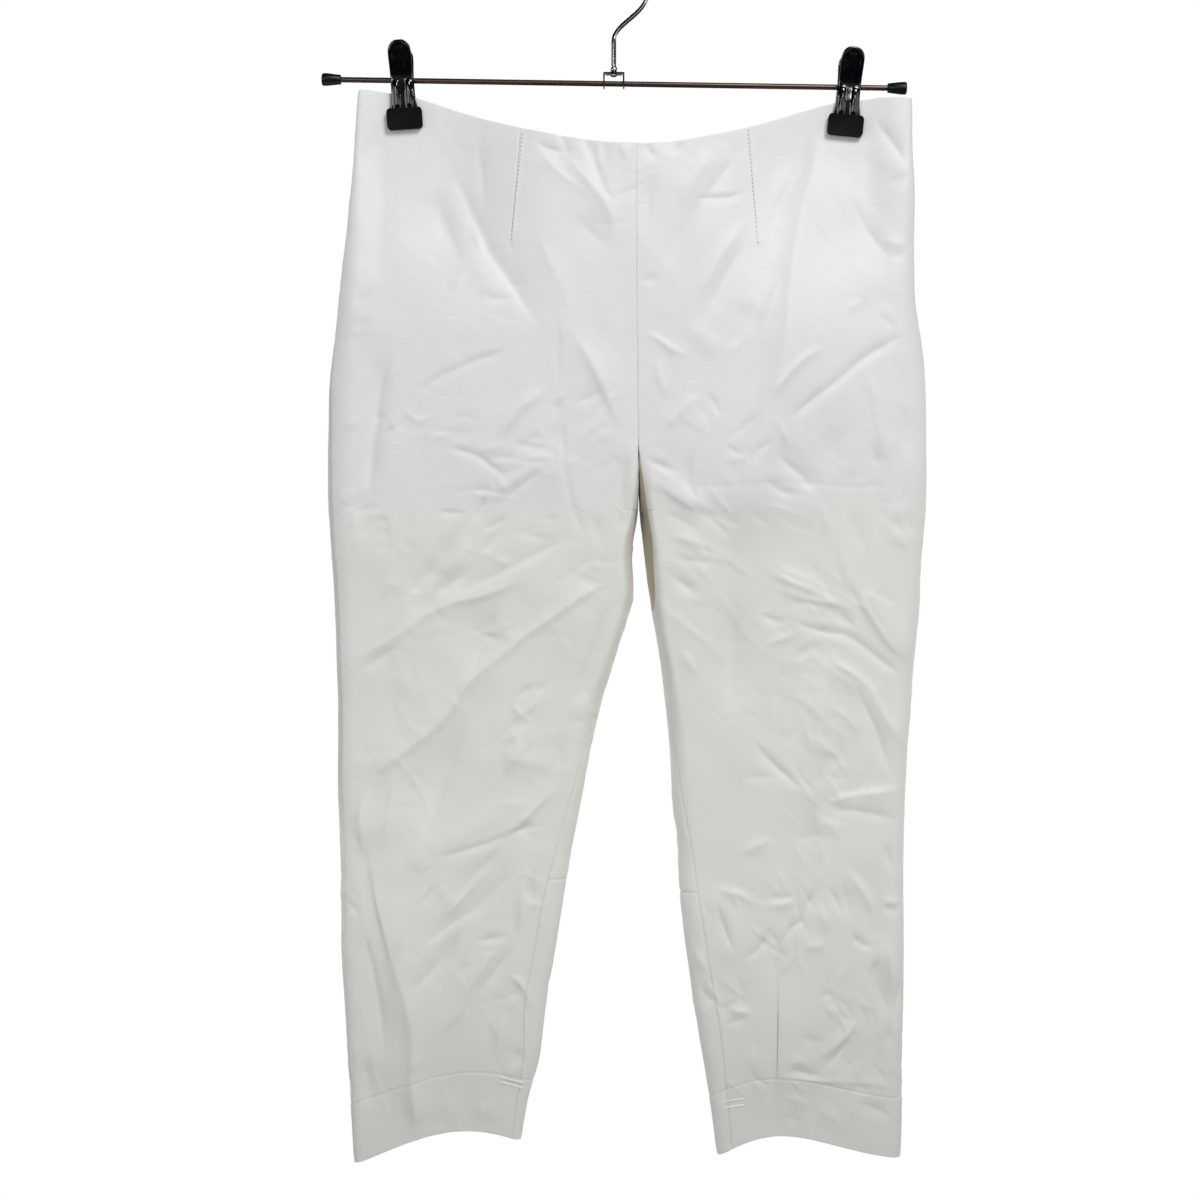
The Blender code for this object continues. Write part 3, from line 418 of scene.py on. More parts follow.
# Rows of creases: points, half width on the upper and on the lower side, height.
FRONT_CREASES = (
    # waist gathers
    (((-44, -142), (-37, -156), (-33, -168)), 3, 4, -1.0),
    (((-25, -147), (-19, -160), (-16, -174)), 2.5, 5, -1.3),
    (((-9, -149), (-7, -161), (-7, -176)), 2.5, 4, -1.2),
    (((6, -150), (8, -163), (13, -172)), 3, 4, 0.9),
    (((23, -150), (27, -161), (35, -172)), 2.5, 5, -1.2),
    # hip, left half
    (((-126, -165), (-108, -207), (-96, -235), (-78, -262), (-63, -285), (-48, -303)), 15, 6, -4.2),
    (((-63, -209), (-53, -235), (-40, -265), (-28, -295)), 6, 8, 0.8),
    (((-104, -140), (-102, -165), (-100, -186), (-98, -209)), 4, 5, -0.8),
    (((-63, -152), (-50, -159), (-35, -162), (-26, -156)), 4, 7, -1.8),
    (((-60, -149), (-53, -164), (-38, -181), (-20, -194)), 4, 6, 0.9),
    (((-21, -155), (-15, -158), (-13, -174), (-5, -194), (6, -203)), 3, 4, -1.6),
    (((-38, -162), (-25, -178), (-10, -196), (-1, -214), (0, -240)), 7, 6, 1.3),
    (((-201, -283), (-189, -271), (-176, -260)), 4, 4, -1.6),
    (((-199, -296), (-190, -291), (-184, -285)), 3, 4, -1),
    (((-181, -222), (-169, -209), (-156, -195)), 3, 3, 0.9),
    (((-192, -183), (-188, -155), (-177, -131)), 6, 8, -1),
    (((-101, -273), (-87, -274), (-72, -271)), 3, 3, -1.2),
    (((-124, -271), (-118, -260), (-109, -252)), 4, 4, 0.7),
    (((-108, -210), (-105, -222), (-99, -240)), 2.5, 3, 0.9),
    (((-30, -209), (-15, -226), (0, -240)), 9, 9, -1.2),
    (((-139, -183), (-129, -214), (-113, -250)), 14, 12, -2.4),
    # hip, right half
    (((28, -155), (41, -155), (54, -152)), 3, 5, -1.4),
    (((39, -164), (47, -161), (54, -153)), 3, 3, -1.2),
    (((33, -172), (27, -201), (24, -235)), 6, 6, -1.2),
    (((97, -158), (81, -181), (66, -204), (50, -230), (35, -262)), 8, 7, -1.6),
    (((105, -208), (88, -232), (71, -260), (55, -285)), 6, 6, 1.2),
    (((102, -227), (88, -250), (76, -275), (64, -298)), 6, 6, -1.4),
    (((81, -155), (61, -183), (43, -214)), 7, 7, 1),
    (((59, -199), (73, -197), (88, -196), (102, -189)), 2.5, 4, -1.3),
    (((159, -138), (152, -178), (145, -199), (140, -222), (135, -250), (132, -275), (130, -300),
      (127, -325), (119, -350), (110, -380), (102, -410), (96, -440), (91, -480)), 13, 32, 5.6),
    (((127, -257), (120, -272), (113, -286), (105, -297)), 2.5, 2.5, 1.8),
    (((157, -140), (147, -164), (131, -192), (116, -224)), 4, 5, -1.4),
    (((179, -181), (187, -204), (197, -222), (215, -246)), 6, 8, -2),
    (((171, -168), (177, -196), (183, -227)), 6, 8, 1.2),
    (((199, -129), (211, -147), (222, -164), (225, -174)), 6, 7, -2),
    (((207, -184), (217, -181), (227, -174)), 4, 4, -1.6),
    (((213, -246), (219, -238), (227, -232)), 4, 4, -2.4),
    (((204, -227), (214, -229), (224, -229)), 4, 4, 1),
    (((154, -211), (159, -224), (167, -240)), 2.5, 3, -0.9),
    (((176, -286), (183, -278), (190, -273)), 2.5, 3, 0.9),
    (((203, -282), (209, -290), (215, -296)), 3, 3, -1.3),
    (((18, -263), (28, -260), (36, -256)), 3, 3, -1.1),
    (((181, -235), (189, -260), (193, -285)), 10, 10, 1.6),
    # thigh top, left leg
    (((-186, -292), (-193, -300), (-205, -310)), 3, 4, -1.6),
    (((-164, -315), (-173, -325), (-178, -346), (-181, -371), (-184, -399), (-186, -427)), 5, 6, -1.9),
    (((-206, -374), (-199, -368), (-193, -360)), 3, 3, 1),
    (((-77, -309), (-84, -314), (-101, -320), (-121, -328), (-138, -337), (-147, -347),
      (-151, -354)), 2.5, 3.5, -1.3),
    (((-161, -355), (-153, -363), (-146, -366), (-136, -362), (-128, -362)), 2.5, 3, 0.9),
    (((-45, -338), (-55, -346), (-70, -358), (-80, -371), (-91, -384)), 6, 4, 1.9),
    (((-42, -290), (-42, -314), (-43, -338)), 1.8, 2, -0.9),
    (((-48, -368), (-44, -363), (-43, -356), (-39, -352), (-31, -350)), 2, 3, -1.7),
    (((-36, -293), (-25, -310), (-13, -331), (-5, -348), (3, -368), (6, -384)), 3, 11, 1.9),
    (((-130, -384), (-121, -387), (-111, -390), (-101, -394), (-93, -400), (-82, -407),
      (-76, -405)), 2.5, 3, -1.5),
    (((-83, -380), (-88, -386), (-96, -388), (-104, -388)), 3, 3, 0.9),
    (((-80, -381), (-70, -384), (-58, -387), (-42, -386)), 2, 2.5, -0.8),
    (((-74, -398), (-60, -394), (-40, -395)), 2, 2.5, 0.8),
    (((-89, -408), (-84, -414), (-83, -422)), 3, 3, 1.3),
    (((-45, -399), (-58, -407), (-70, -415), (-80, -423), (-85, -431), (-88, -439)), 3, 4, -2.4),
    (((-89, -420), (-98, -428), (-103, -439), (-106, -448)), 3, 3, -2.2),
    (((-75, -436), (-85, -442), (-96, -448), (-101, -452)), 2.5, 3, -2),
    (((-77, -438), (-86, -449), (-96, -462), (-107, -469)), 2.5, 4, -2),
    (((-108, -435), (-121, -436), (-136, -434)), 2, 2.5, -0.9),
    (((-109, -438), (-121, -456), (-133, -474), (-146, -489), (-158, -503)), 7, 5, -2),
    (((-105, -451), (-115, -466), (-128, -484), (-142, -498)), 5, 5, 1.7),
    (((-106, -472), (-113, -482), (-126, -492), (-137, -501)), 6, 5, -1.6),
    (((-27, -454), (-45, -461), (-65, -471), (-86, -482), (-103, -489), (-116, -495),
      (-128, -502)), 8, 3, -1.9),
    (((-39, -363), (-38, -386), (-35, -411), (-29, -436), (-20, -457)), 2, 2, -0.8),
    (((11, -383), (8, -404), (6, -426), (2, -439)), 4, 4, -1.6),
    (((15, -396), (12, -421), (6, -442)), 3, 3, 1.1),
    (((3, -433), (6, -444), (1, -452)), 2.5, 3, -1.6),
    (((-192, -439), (-184, -438), (-170, -435)), 2.5, 3, 0.8),
    (((-20, -431), (-13, -446), (-7, -466)), 5, 5, -0.9),
    # thigh top, right leg
    (((22, -299), (33, -305), (45, -313), (59, -320)), 2.5, 3, 1.4),
    (((33, -317), (34, -331), (38, -343), (42, -351)), 3, 3, 0.9),
    (((33, -380), (48, -363), (60, -351), (70, -344)), 4, 5, 1.2),
    (((70, -344), (77, -356), (82, -365)), 3, 3, -1.3),
    (((106, -292), (99, -305), (86, -317)), 3, 4, 1),
    (((162, -309), (146, -318), (131, -332), (120, -346), (114, -354)), 3, 3, 1.4),
    (((116, -356), (106, -365), (96, -373), (81, -384)), 2.5, 3, -1.6),
    (((225, -297), (206, -308), (186, -321), (166, -338), (149, -351), (135, -363),
      (126, -367)), 3, 4, -1.4),
    (((118, -360), (126, -373), (134, -390)), 2.5, 2.5, 1.1),
    (((119, -389), (131, -400), (141, -407), (153, -418)), 3, 3, -2.2),
    (((122, -377), (116, -383), (106, -391), (102, -399), (98, -408)), 3, 3, -1.8),
    (((83, -384), (91, -390), (100, -394)), 2.5, 3, -1.6),
    (((83, -398), (93, -395), (104, -393)), 2.5, 3, 1),
    (((191, -320), (196, -341), (201, -366), (204, -391), (207, -412)), 4, 5, 1.7),
    (((221, -351), (224, -378), (226, -402)), 8, 8, -1.2),
    (((161, -366), (166, -386), (169, -409)), 10, 10, -1),
    (((21, -393), (35, -400), (51, -406)), 2.5, 3, -1.8),
    (((59, -383), (57, -396), (57, -411), (60, -422), (66, -433)), 4, 3, -2.1),
    (((32, -414), (43, -421), (55, -429), (66, -436)), 6, 2.5, 2.2),
    (((26, -404), (30, -411), (28, -422)), 3, 3, 1),
    (((57, -417), (93, -415), (123, -413), (154, -414), (181, -416), (215, -414)), 1.5, 1.8, -0.35),
    (((153, -421), (159, -434), (162, -446), (164, -464)), 3, 2.5, 1.4),
    (((166, -455), (173, -464), (175, -476), (179, -492), (183, -504)), 2.5, 5, 2.4),
    (((223, -431), (227, -446), (232, -456)), 4, 4, -1.7),
    (((215, -445), (218, -456), (223, -465)), 4, 4, 1.6),
    (((40, -451), (55, -456), (77, -464)), 4, 4, 1.1),
    (((43, -467), (58, -472), (81, -474)), 3, 4, -0.9),
    (((112, -478), (131, -487), (149, -494), (168, -501)), 6, 4, 1.5),
    (((42, -481), (56, -492), (67, -500)), 4, 4, -1.3),
    (((35, -434), (50, -441), (65, -451)), 5, 6, -1),
    (((179, -431), (186, -451), (191, -471)), 6, 6, -1),
    # thigh, left leg
    (((-143, -487), (-153, -502), (-163, -517), (-182, -535)), 4, 5, 1.5),
    (((-65, -485), (-96, -498), (-121, -504), (-139, -512), (-156, -524), (-177, -537),
      (-199, -549)), 5, 3, 2.2),
    (((-159, -533), (-184, -550), (-199, -559)), 3, 4, -1.2),
    (((0, -487), (-20, -497), (-45, -514), (-66, -529), (-81, -541), (-96, -553), (-109, -565),
      (-121, -583), (-134, -598), (-152, -613), (-172, -628), (-185, -641)), 5, 3, 3),
    (((-87, -499), (-96, -527), (-105, -550), (-116, -565)), 12, 8, -3.8),
    (((-110, -586), (-118, -608), (-126, -628), (-134, -649), (-139, -669), (-147, -692)), 14, 9, -6),
    (((-4, -502), (-10, -522), (-16, -545), (-23, -567), (-28, -588)), 5, 5, -2.4),
    (((-78, -577), (-71, -588), (-60, -596)), 4, 4, 1.1),
    (((-57, -565), (-68, -572), (-76, -577)), 3, 3, -1),
    (((-40, -643), (-58, -659), (-71, -671), (-84, -684), (-92, -701)), 6, 3, 2.2),
    (((-50, -674), (-66, -675), (-78, -679), (-91, -685), (-109, -691), (-137, -699)), 2, 3, -1.5),
    (((-185, -640), (-191, -654), (-193, -669), (-191, -689), (-188, -702)), 3.5, 12, 2.2),
    (((-166, -628), (-169, -654), (-173, -679), (-175, -702)), 7, 7, 1.3),
    (((-66, -593), (-71, -618), (-73, -643)), 12, 12, 1.2),
    (((-162, -560), (-167, -580), (-174, -600)), 7, 7, -0.9),
    (((-45, -598), (-40, -618), (-45, -638)), 6, 6, -1),
    # thigh, right leg
    (((51, -536), (58, -550), (66, -558)), 3, 4, 1.5),
    (((94, -482), (92, -512), (91, -537), (90, -562), (88, -583), (86, -602)), 10, 12, -3.8),
    (((103, -604), (114, -618), (129, -633), (148, -649)), 3, 5, -1.8),
    (((161, -533), (159, -567), (157, -598), (154, -628), (153, -654), (157, -674),
      (160, -700)), 13, 9, 4.2),
    (((159, -662), (165, -656), (177, -652), (198, -649), (222, -645)), 3, 5, 1.9),
    (((162, -664), (183, -662), (203, -666), (221, -671)), 3, 4, -1),
    (((131, -514), (146, -522), (162, -526), (177, -528), (192, -538), (207, -550),
      (224, -561)), 3, 4, -2.2),
    (((118, -489), (134, -497), (151, -502), (169, -505), (182, -510), (188, -514)), 4, 2.5, 1.7),
    (((185, -491), (192, -507), (201, -522), (212, -537), (227, -548)), 5, 3, 2.5),
    (((177, -485), (184, -502), (190, -515)), 3, 3, -1.7),
    (((108, -511), (119, -516), (126, -518), (134, -515)), 2.5, 3, -1.4),
    (((112, -535), (126, -532), (139, -527), (145, -524)), 3, 3, 1.1),
    (((162, -545), (172, -552), (182, -558), (195, -570), (205, -588), (215, -603),
      (223, -614)), 3, 3, 2.5),
    (((182, -562), (190, -580), (200, -600), (208, -623), (216, -637)), 5, 4, -1.8),
    (((152, -534), (144, -542), (138, -551)), 3, 3, -1),
    (((96, -697), (109, -689), (123, -684)), 4, 5, 1.2),
    (((96, -638), (112, -636), (127, -638)), 4, 4, -0.8),
    (((162, -583), (174, -588), (192, -608)), 6, 6, 0.9),
    # calf, left leg
    (((-189, -679), (-183, -708), (-178, -733), (-168, -769), (-159, -804), (-153, -833), (-154, -861),
      (-152, -892), (-150, -930)), 10, 16, 3.6),
    (((-192, -748), (-183, -786), (-178, -817), (-174, -853)), 8, 7, -1.6),
    (((-88, -700), (-104, -717), (-119, -733), (-135, -751)), 5, 5, 1.6),
    (((-70, -705), (-86, -719), (-101, -734), (-114, -743), (-132, -756), (-149, -770)), 8, 3, -2.6),
    (((-84, -687), (-96, -702), (-112, -720), (-124, -740)), 6, 5, -1.8),
    (((-114, -748), (-121, -761), (-129, -774), (-142, -789), (-157, -803)), 6, 4, -2.3),
    (((-105, -762), (-91, -760), (-77, -758)), 3, 2, -1.6),
    (((-77, -760), (-93, -772), (-104, -789), (-112, -802), (-119, -818), (-138, -841)), 7, 5, 2.2),
    (((-73, -762), (-86, -779), (-96, -792), (-106, -805)), 4, 5, -1.5),
    (((-69, -709), (-70, -735), (-73, -759)), 3, 3, 1.4),
    (((-62, -705), (-62, -723), (-63, -740)), 3, 3, -1.3),
    (((-82, -786), (-71, -794), (-66, -804), (-63, -813)), 3, 3, 1.7),
    (((-84, -810), (-87, -833), (-92, -854)), 4, 8, 1.2),
    (((-154, -864), (-149, -854), (-143, -848)), 5, 4, 1.6),
    (((-147, -871), (-150, -889), (-148, -909)), 6, 7, 1.4),
    (((-96, -879), (-94, -889), (-94, -905)), 9, 9, 1.2),
    (((-127, -874), (-127, -889), (-127, -905)), 8, 8, 1),
    (((-205, -730), (-200, -735), (-192, -744)), 3, 3, -1.6),
    (((-58, -743), (-53, -748), (-49, -746)), 3, 3, 1),
    (((-191, -848), (-188, -869), (-183, -897)), 9, 9, -1.6),
    (((-66, -843), (-74, -851), (-79, -861)), 5, 5, -0.9),
    # calf, right leg
    (((76, -721), (92, -725), (107, -729)), 3, 5, 1.6),
    (((116, -736), (130, -733), (141, -730)), 4, 4, 1.4),
    (((112, -730), (125, -729), (140, -728)), 3, 3, -1),
    (((78, -727), (83, -748), (89, -763), (96, -775)), 6, 4, -1.9),
    (((95, -776), (104, -773), (112, -766), (117, -757), (120, -748)), 3, 3, -2.4),
    (((123, -765), (131, -760), (136, -751), (144, -746), (147, -735), (154, -723),
      (161, -715)), 3, 6, -2.1),
    (((162, -718), (170, -731), (175, -746)), 2.5, 3, -1.4),
    (((155, -728), (160, -743), (163, -758)), 7, 8, 1.3),
    (((126, -767), (126, -786), (127, -812), (128, -838), (127, -858), (125, -879),
      (125, -912)), 24, 26, 6.6),
    (((124, -770), (124, -799), (125, -838), (124, -861)), 1.6, 1.6, -1.8),
    (((129, -860), (143, -861), (152, -864), (159, -861)), 3, 3, -2.4),
    (((132, -855), (143, -853), (151, -857)), 4, 3, 1.9),
    (((189, -818), (181, -830), (171, -840), (161, -848), (153, -854)), 5, 7, 2.6),
    (((187, -828), (178, -841), (166, -854), (158, -861)), 5, 5, -1.5),
    (((170, -814), (176, -820), (183, -824)), 3, 3, -2.4),
    (((180, -753), (186, -761), (193, -766), (203, -765)), 3, 3, -2.4),
    (((202, -767), (202, -779), (200, -787), (204, -800), (209, -815), (212, -821)), 3, 3, -3.2),
    (((210, -817), (210, -838), (211, -854)), 2.5, 3, -2.6),
    (((219, -790), (218, -807), (213, -818)), 2.5, 3, -2),
    (((209, -753), (211, -774), (213, -794), (211, -810)), 5, 4, 2),
    (((177, -704), (185, -717), (193, -730), (201, -746)), 4, 4, 2.1),
    (((174, -712), (178, -730), (182, -751)), 5, 5, -1.4),
    (((208, -684), (211, -700), (214, -714)), 2.5, 3, -1.8),
    (((204, -735), (211, -738), (221, -738)), 3, 3, -2.6),
    (((203, -728), (213, -733), (222, -731)), 3, 3, 1.4),
    (((61, -765), (68, -779), (74, -789)), 4, 4, 1.6),
    (((66, -794), (70, -804), (71, -817)), 4, 4, -1.4),
    (((85, -828), (94, -823), (105, -820)), 3, 3, -2),
    (((84, -817), (94, -815), (108, -817)), 3, 3, 1.4),
    (((83, -813), (89, -811), (96, -807)), 2.5, 3, -1.4),
    (((130, -863), (151, -868), (179, -870), (202, -872), (220, -875)), 3.5, 3, 0.9),
    (((185, -886), (199, -891), (215, -898)), 5, 5, -1.8),
    (((130, -896), (138, -899), (147, -903)), 6, 6, -1.6),
    (((155, -806), (163, -803), (172, -802)), 3, 3, -1.4),
    (((142, -769), (153, -765), (164, -767)), 5, 5, 1.2),
    (((145, -828), (150, -838), (163, -838)), 6, 6, -0.9),
    (((94, -786), (99, -804), (97, -822)), 7, 7, -1),
    (((105, -838), (107, -853), (110, -869)), 8, 8, 0.9),
    (((151, -889), (168, -897), (179, -910)), 7, 7, 1),
    (((199, -828), (201, -843), (204, -863)), 5, 5, -1.2),
)

BACK_CREASES = (
    (((-150, -150), (-128, -190), (-104, -232), (-84, -262)), 12, 10, -1.8),
    (((-60, -160), (-52, -200), (-38, -240), (-30, -282)), 8, 7, 0.9),
    (((-20, -164), (-12, -186), (4, -204)), 4, 3, -1.1),
    (((40, -160), (52, -170), (66, -166)), 3, 5, -1.0),
    (((158, -158), (150, -205), (140, -250), (128, -300), (120, -350)), 16, 7, -2.6),
    (((196, -140), (212, -168), (222, -196)), 7, 5, -1.2),
    (((-196, -270), (-176, -284), (-150, -290)), 4, 4, -0.9),
    (((-40, -300), (-70, -322), (-104, -330), (-140, -346)), 3, 5, -0.8),
    (((60, -300), (92, -316), (130, -322), (176, -340)), 3, 5, 0.8),
    (((10, -352), (-18, -372), (-52, -386), (-92, -392)), 4, 6, -1.8),
    (((26, -356), (52, -378), (90, -392), (132, -398)), 4, 6, -1.6),
    (((6, -384), (-20, -408), (-60, -424), (-104, -430)), 4, 5, 1.4),
    (((34, -388), (66, -414), (104, -430), (150, -436)), 4, 5, 1.3),
    (((-180, -360), (-188, -400), (-184, -440)), 6, 6, -0.9),
    (((204, -350), (208, -392), (202, -430)), 6, 6, -0.9),
    (((0, -450), (-34, -482), (-76, -514), (-124, -546), (-176, -572)), 8, 4, 1.8),
    (((-36, -446), (-70, -462), (-112, -484), (-150, -512)), 6, 3, -1.4),
    (((40, -452), (76, -486), (120, -512), (172, -536), (214, -552)), 8, 4, 1.7),
    (((58, -498), (96, -528), (142, -556), (190, -584)), 7, 3, -1.6),
    (((-60, -560), (-90, -580), (-130, -592), (-178, -604)), 5, 4, -1.3),
    (((90, -590), (126, -604), (166, -624), (204, -648)), 4, 4, 1.2),
    (((-34, -600), (-66, -628), (-104, -650), (-150, -664)), 7, 4, 1.5),
    (((66, -640), (100, -656), (146, -664), (196, -690)), 6, 4, -1.5),
    (((-50, -672), (-88, -680), (-130, -696), (-176, -700)), 3, 4, -1.0),
    (((70, -690), (104, -700), (140, -716), (184, -722)), 3, 4, 0.9),
    (((-84, -724), (-104, -750), (-134, -772), (-168, -790)), 8, 3, -1.8),
    (((-70, -752), (-86, -784), (-98, -816), (-104, -850)), 5, 5, 1.1),
    (((-150, -800), (-142, -836), (-140, -870)), 8, 5, -1.4),
    (((86, -746), (104, -772), (122, -800), (128, -850)), 9, 4, -1.9),
    (((150, -730), (158, -770), (156, -812), (164, -852)), 5, 7, 1.3),
    (((196, -742), (190, -780), (198, -820), (196, -856)), 4, 4, -1.6),
    (((110, -830), (134, -846), (160, -852)), 4, 4, 0.8),
    (((-120, -820), (-96, -838), (-78, -850)), 4, 4, 0.7),
    (((-190, -610), (-172, -640), (-168, -680)), 5, 5, -1.1),
    (((210, -580), (192, -614), (188, -652)), 5, 5, -1.1),
)


@dataclass(frozen=True)
class ScatteredCreases:
    """Slight thin creases in small bundles between the drawn ones, the same in every run."""

    face: Face
    bundles: int = 110
    lowest: Point = (-205.0, -905.0)
    highest: Point = (225.0, -170.0)
    middle: float = 18.0
    margins: Point = (10.0, 8.0)  # from the left and the right edge
    hips: float = -370.0  # above which most bundles are left out
    left_out: float = 0.8
    slant_spread: float = 28.0  # degrees, as the next
    turn_spread: float = 13.0
    aside_spread: float = 9.0
    along_spread: float = 8.0
    bend_spread: float = 2.6
    halves: Point = (6.0, 24.0)
    thin: Point = (1.5, 2.6)
    wide: Point = (2.4, 5.5)
    heights: Point = (0.25, 0.68)
    ridges: float = 0.55
    SEEDS = {Face.FRONT: 41, Face.BACK: 42}
    SLANTS = {Side.LEFT: 42.0, Side.RIGHT: 128.0}
    COUNTS = (3, 7)
    DEEP_FOLD = ((-205, -160), (-870, -775))  # X and Z of the calf's deep fold, which stays smooth

    def spared(self, x: float, z: float) -> bool:
        """Whether a bundle would lie on the calf's deep fold."""
        (left, right), (low, high) = self.DEEP_FOLD
        return self.face is Face.FRONT and left < x < right and low < z < high

    def draw(self) -> list[Crease]:
        """Draw the bundles one after another; a spared one is drawn too, so that the others stay.

        Returns:
            The creases that are kept.
        """
        random = np.random.default_rng(self.SEEDS[self.face])
        found = []
        for x, z in random.uniform(self.lowest, self.highest, (self.bundles, 2)).tolist():
            side = Side.LEFT if x < self.middle else Side.RIGHT
            edges = [float(SECTION.read(f"{side.value}_{end}", z)) for end in ("out", "in")]
            sparse = z > self.hips and random.random() < self.left_out
            if sparse or not min(edges) + self.margins[0] < x < max(edges) - self.margins[1]:
                continue
            slant = random.normal(self.SLANTS[side], self.slant_spread)
            bundle = [self.draw_one(random, x, z, slant) for _ in range(int(random.integers(*self.COUNTS)))]
            found += [] if self.spared(x, z) else bundle
        return found

    def draw_one(self, random: np.random.Generator, x: float, z: float, slant: float) -> Crease:
        """Draw one crease of the bundle at a place.

        Args:
            random: The bundle's random numbers.
            x: X of the place.
            z: Z of the place.
            slant: Direction of the crease, in degrees.

        Returns:
            The crease.
        """
        angle = math.radians(slant + random.normal(0.0, self.turn_spread))
        along = np.array([math.cos(angle), math.sin(angle)])
        aside = np.array([-along[1], along[0]])
        middle = np.array([x, z]) + aside * random.normal(0.0, self.aside_spread)
        middle = middle + along * random.normal(0.0, self.along_spread)
        half, bend = random.uniform(*self.halves), random.normal(0.0, self.bend_spread)
        spots = (middle - along * half, middle + aside * bend, middle + along * half)
        thin, wide = random.uniform(*self.thin), random.uniform(*self.wide)
        widths = (thin, wide) if random.random() < 0.5 else (wide, thin)
        height = random.uniform(*self.heights) * (1 if random.random() < self.ridges else -1)
        return Crease(tuple(tuple(spot.tolist()) for spot in spots), *widths, height)


@dataclass(frozen=True)
class Dart:
    """A waist dart: a sewn furrow with a ridge on its inward side and a dent past its tip."""

    top: Point
    tip: Point
    MIDDLE = 17
    RIDGE_OFF = 1.3
    FURROW, RIDGE, DENT = (1.1, 1.1, -0.6), (1.7, 1.7, 0.5), (5, 5, -0.7)  # two widths and a height each
    DENT_ABOVE, DENT_BELOW = 4, 8  # the dent's ends, above and below the tip
    STITCHES_OFF, STITCHES_TIP = 1.5, 0.4  # off the furrow, and the share of it at the tip
    STITCHES_BELOW, STITCHES_ABOVE = 8, 2  # the stitches start below the top and end above the tip

    @property
    def inward(self) -> int:
        """The sign of X on the way to the middle."""
        return 1 if self.top[0] < self.MIDDLE else -1

    def creases(self) -> list[Crease]:
        """The furrow, the ridge and the dent.

        Returns:
            The three creases.
        """
        (top_x, top_z), (tip_x, tip_z) = self.top, self.tip
        off = self.inward * self.RIDGE_OFF
        return [
            Crease((self.top, self.tip), *self.FURROW),
            Crease(((top_x + off, top_z), (tip_x + off, tip_z)), *self.RIDGE),
            Crease(((tip_x - 1, tip_z + self.DENT_ABOVE), (tip_x + 1, tip_z - self.DENT_BELOW)), *self.DENT),
        ]

    def stitch_line(self) -> tuple[Point, Point]:
        """Where the dart's stitches run.

        Returns:
            X and Z of the line's two ends.
        """
        off = self.inward * self.STITCHES_OFF
        start = (self.top[0] + off, self.top[1] - self.STITCHES_BELOW)
        return start, (self.tip[0] + off * self.STITCHES_TIP, self.tip[1] + self.STITCHES_ABOVE)


DARTS = {
    Face.FRONT: {
        Side.LEFT: Dart((-70.2, -138.0), (-78.3, -231.7)),
        Side.RIGHT: Dart((104.3, -134.0), (110.6, -232.4)),
    },
    Face.BACK: {
        Side.LEFT: Dart((-68.0, -138.0), (-74.0, -250.0)),
        Side.RIGHT: Dart((102.0, -134.0), (106.0, -250.0)),
    },
}


@lru_cache
def all_creases(face: Face) -> tuple[Crease, ...]:
    """Every crease of the front or the back: drawn, scattered and at the darts.

    Args:
        face: The front or the back.

    Returns:
        The creases, in the order in which they are laid.
    """
    drawn = [Crease(*row) for row in (FRONT_CREASES if face is Face.FRONT else BACK_CREASES)]
    at_darts = [crease for dart in DARTS[face].values() for crease in dart.creases()]
    return (*drawn, *ScatteredCreases(face).draw(), *at_darts)


BAR_TACKS = {  # rows of tight stitches where the hem meets the inner leg seam
    "front_panel_left": (((-86.5, -866.0), (-69.0, -870.6)), ((-85.5, -870.2), (-69.0, -874.7))),
    "front_panel_right": (((83.5, -885.5), (100.0, -882.5)), ((84.5, -890.0), (100.0, -887.5))),
}

SHADED_EDGE = (  # X and Z down the front edge that the painted shade strip of the right leg lies behind
    (17.6, -380), (19.8, -390.5), (23.3, -416), (25.6, -435), (29.3, -455.5), (30.9, -474.5),
    (32.4, -498.7), (31.6, -510),
)


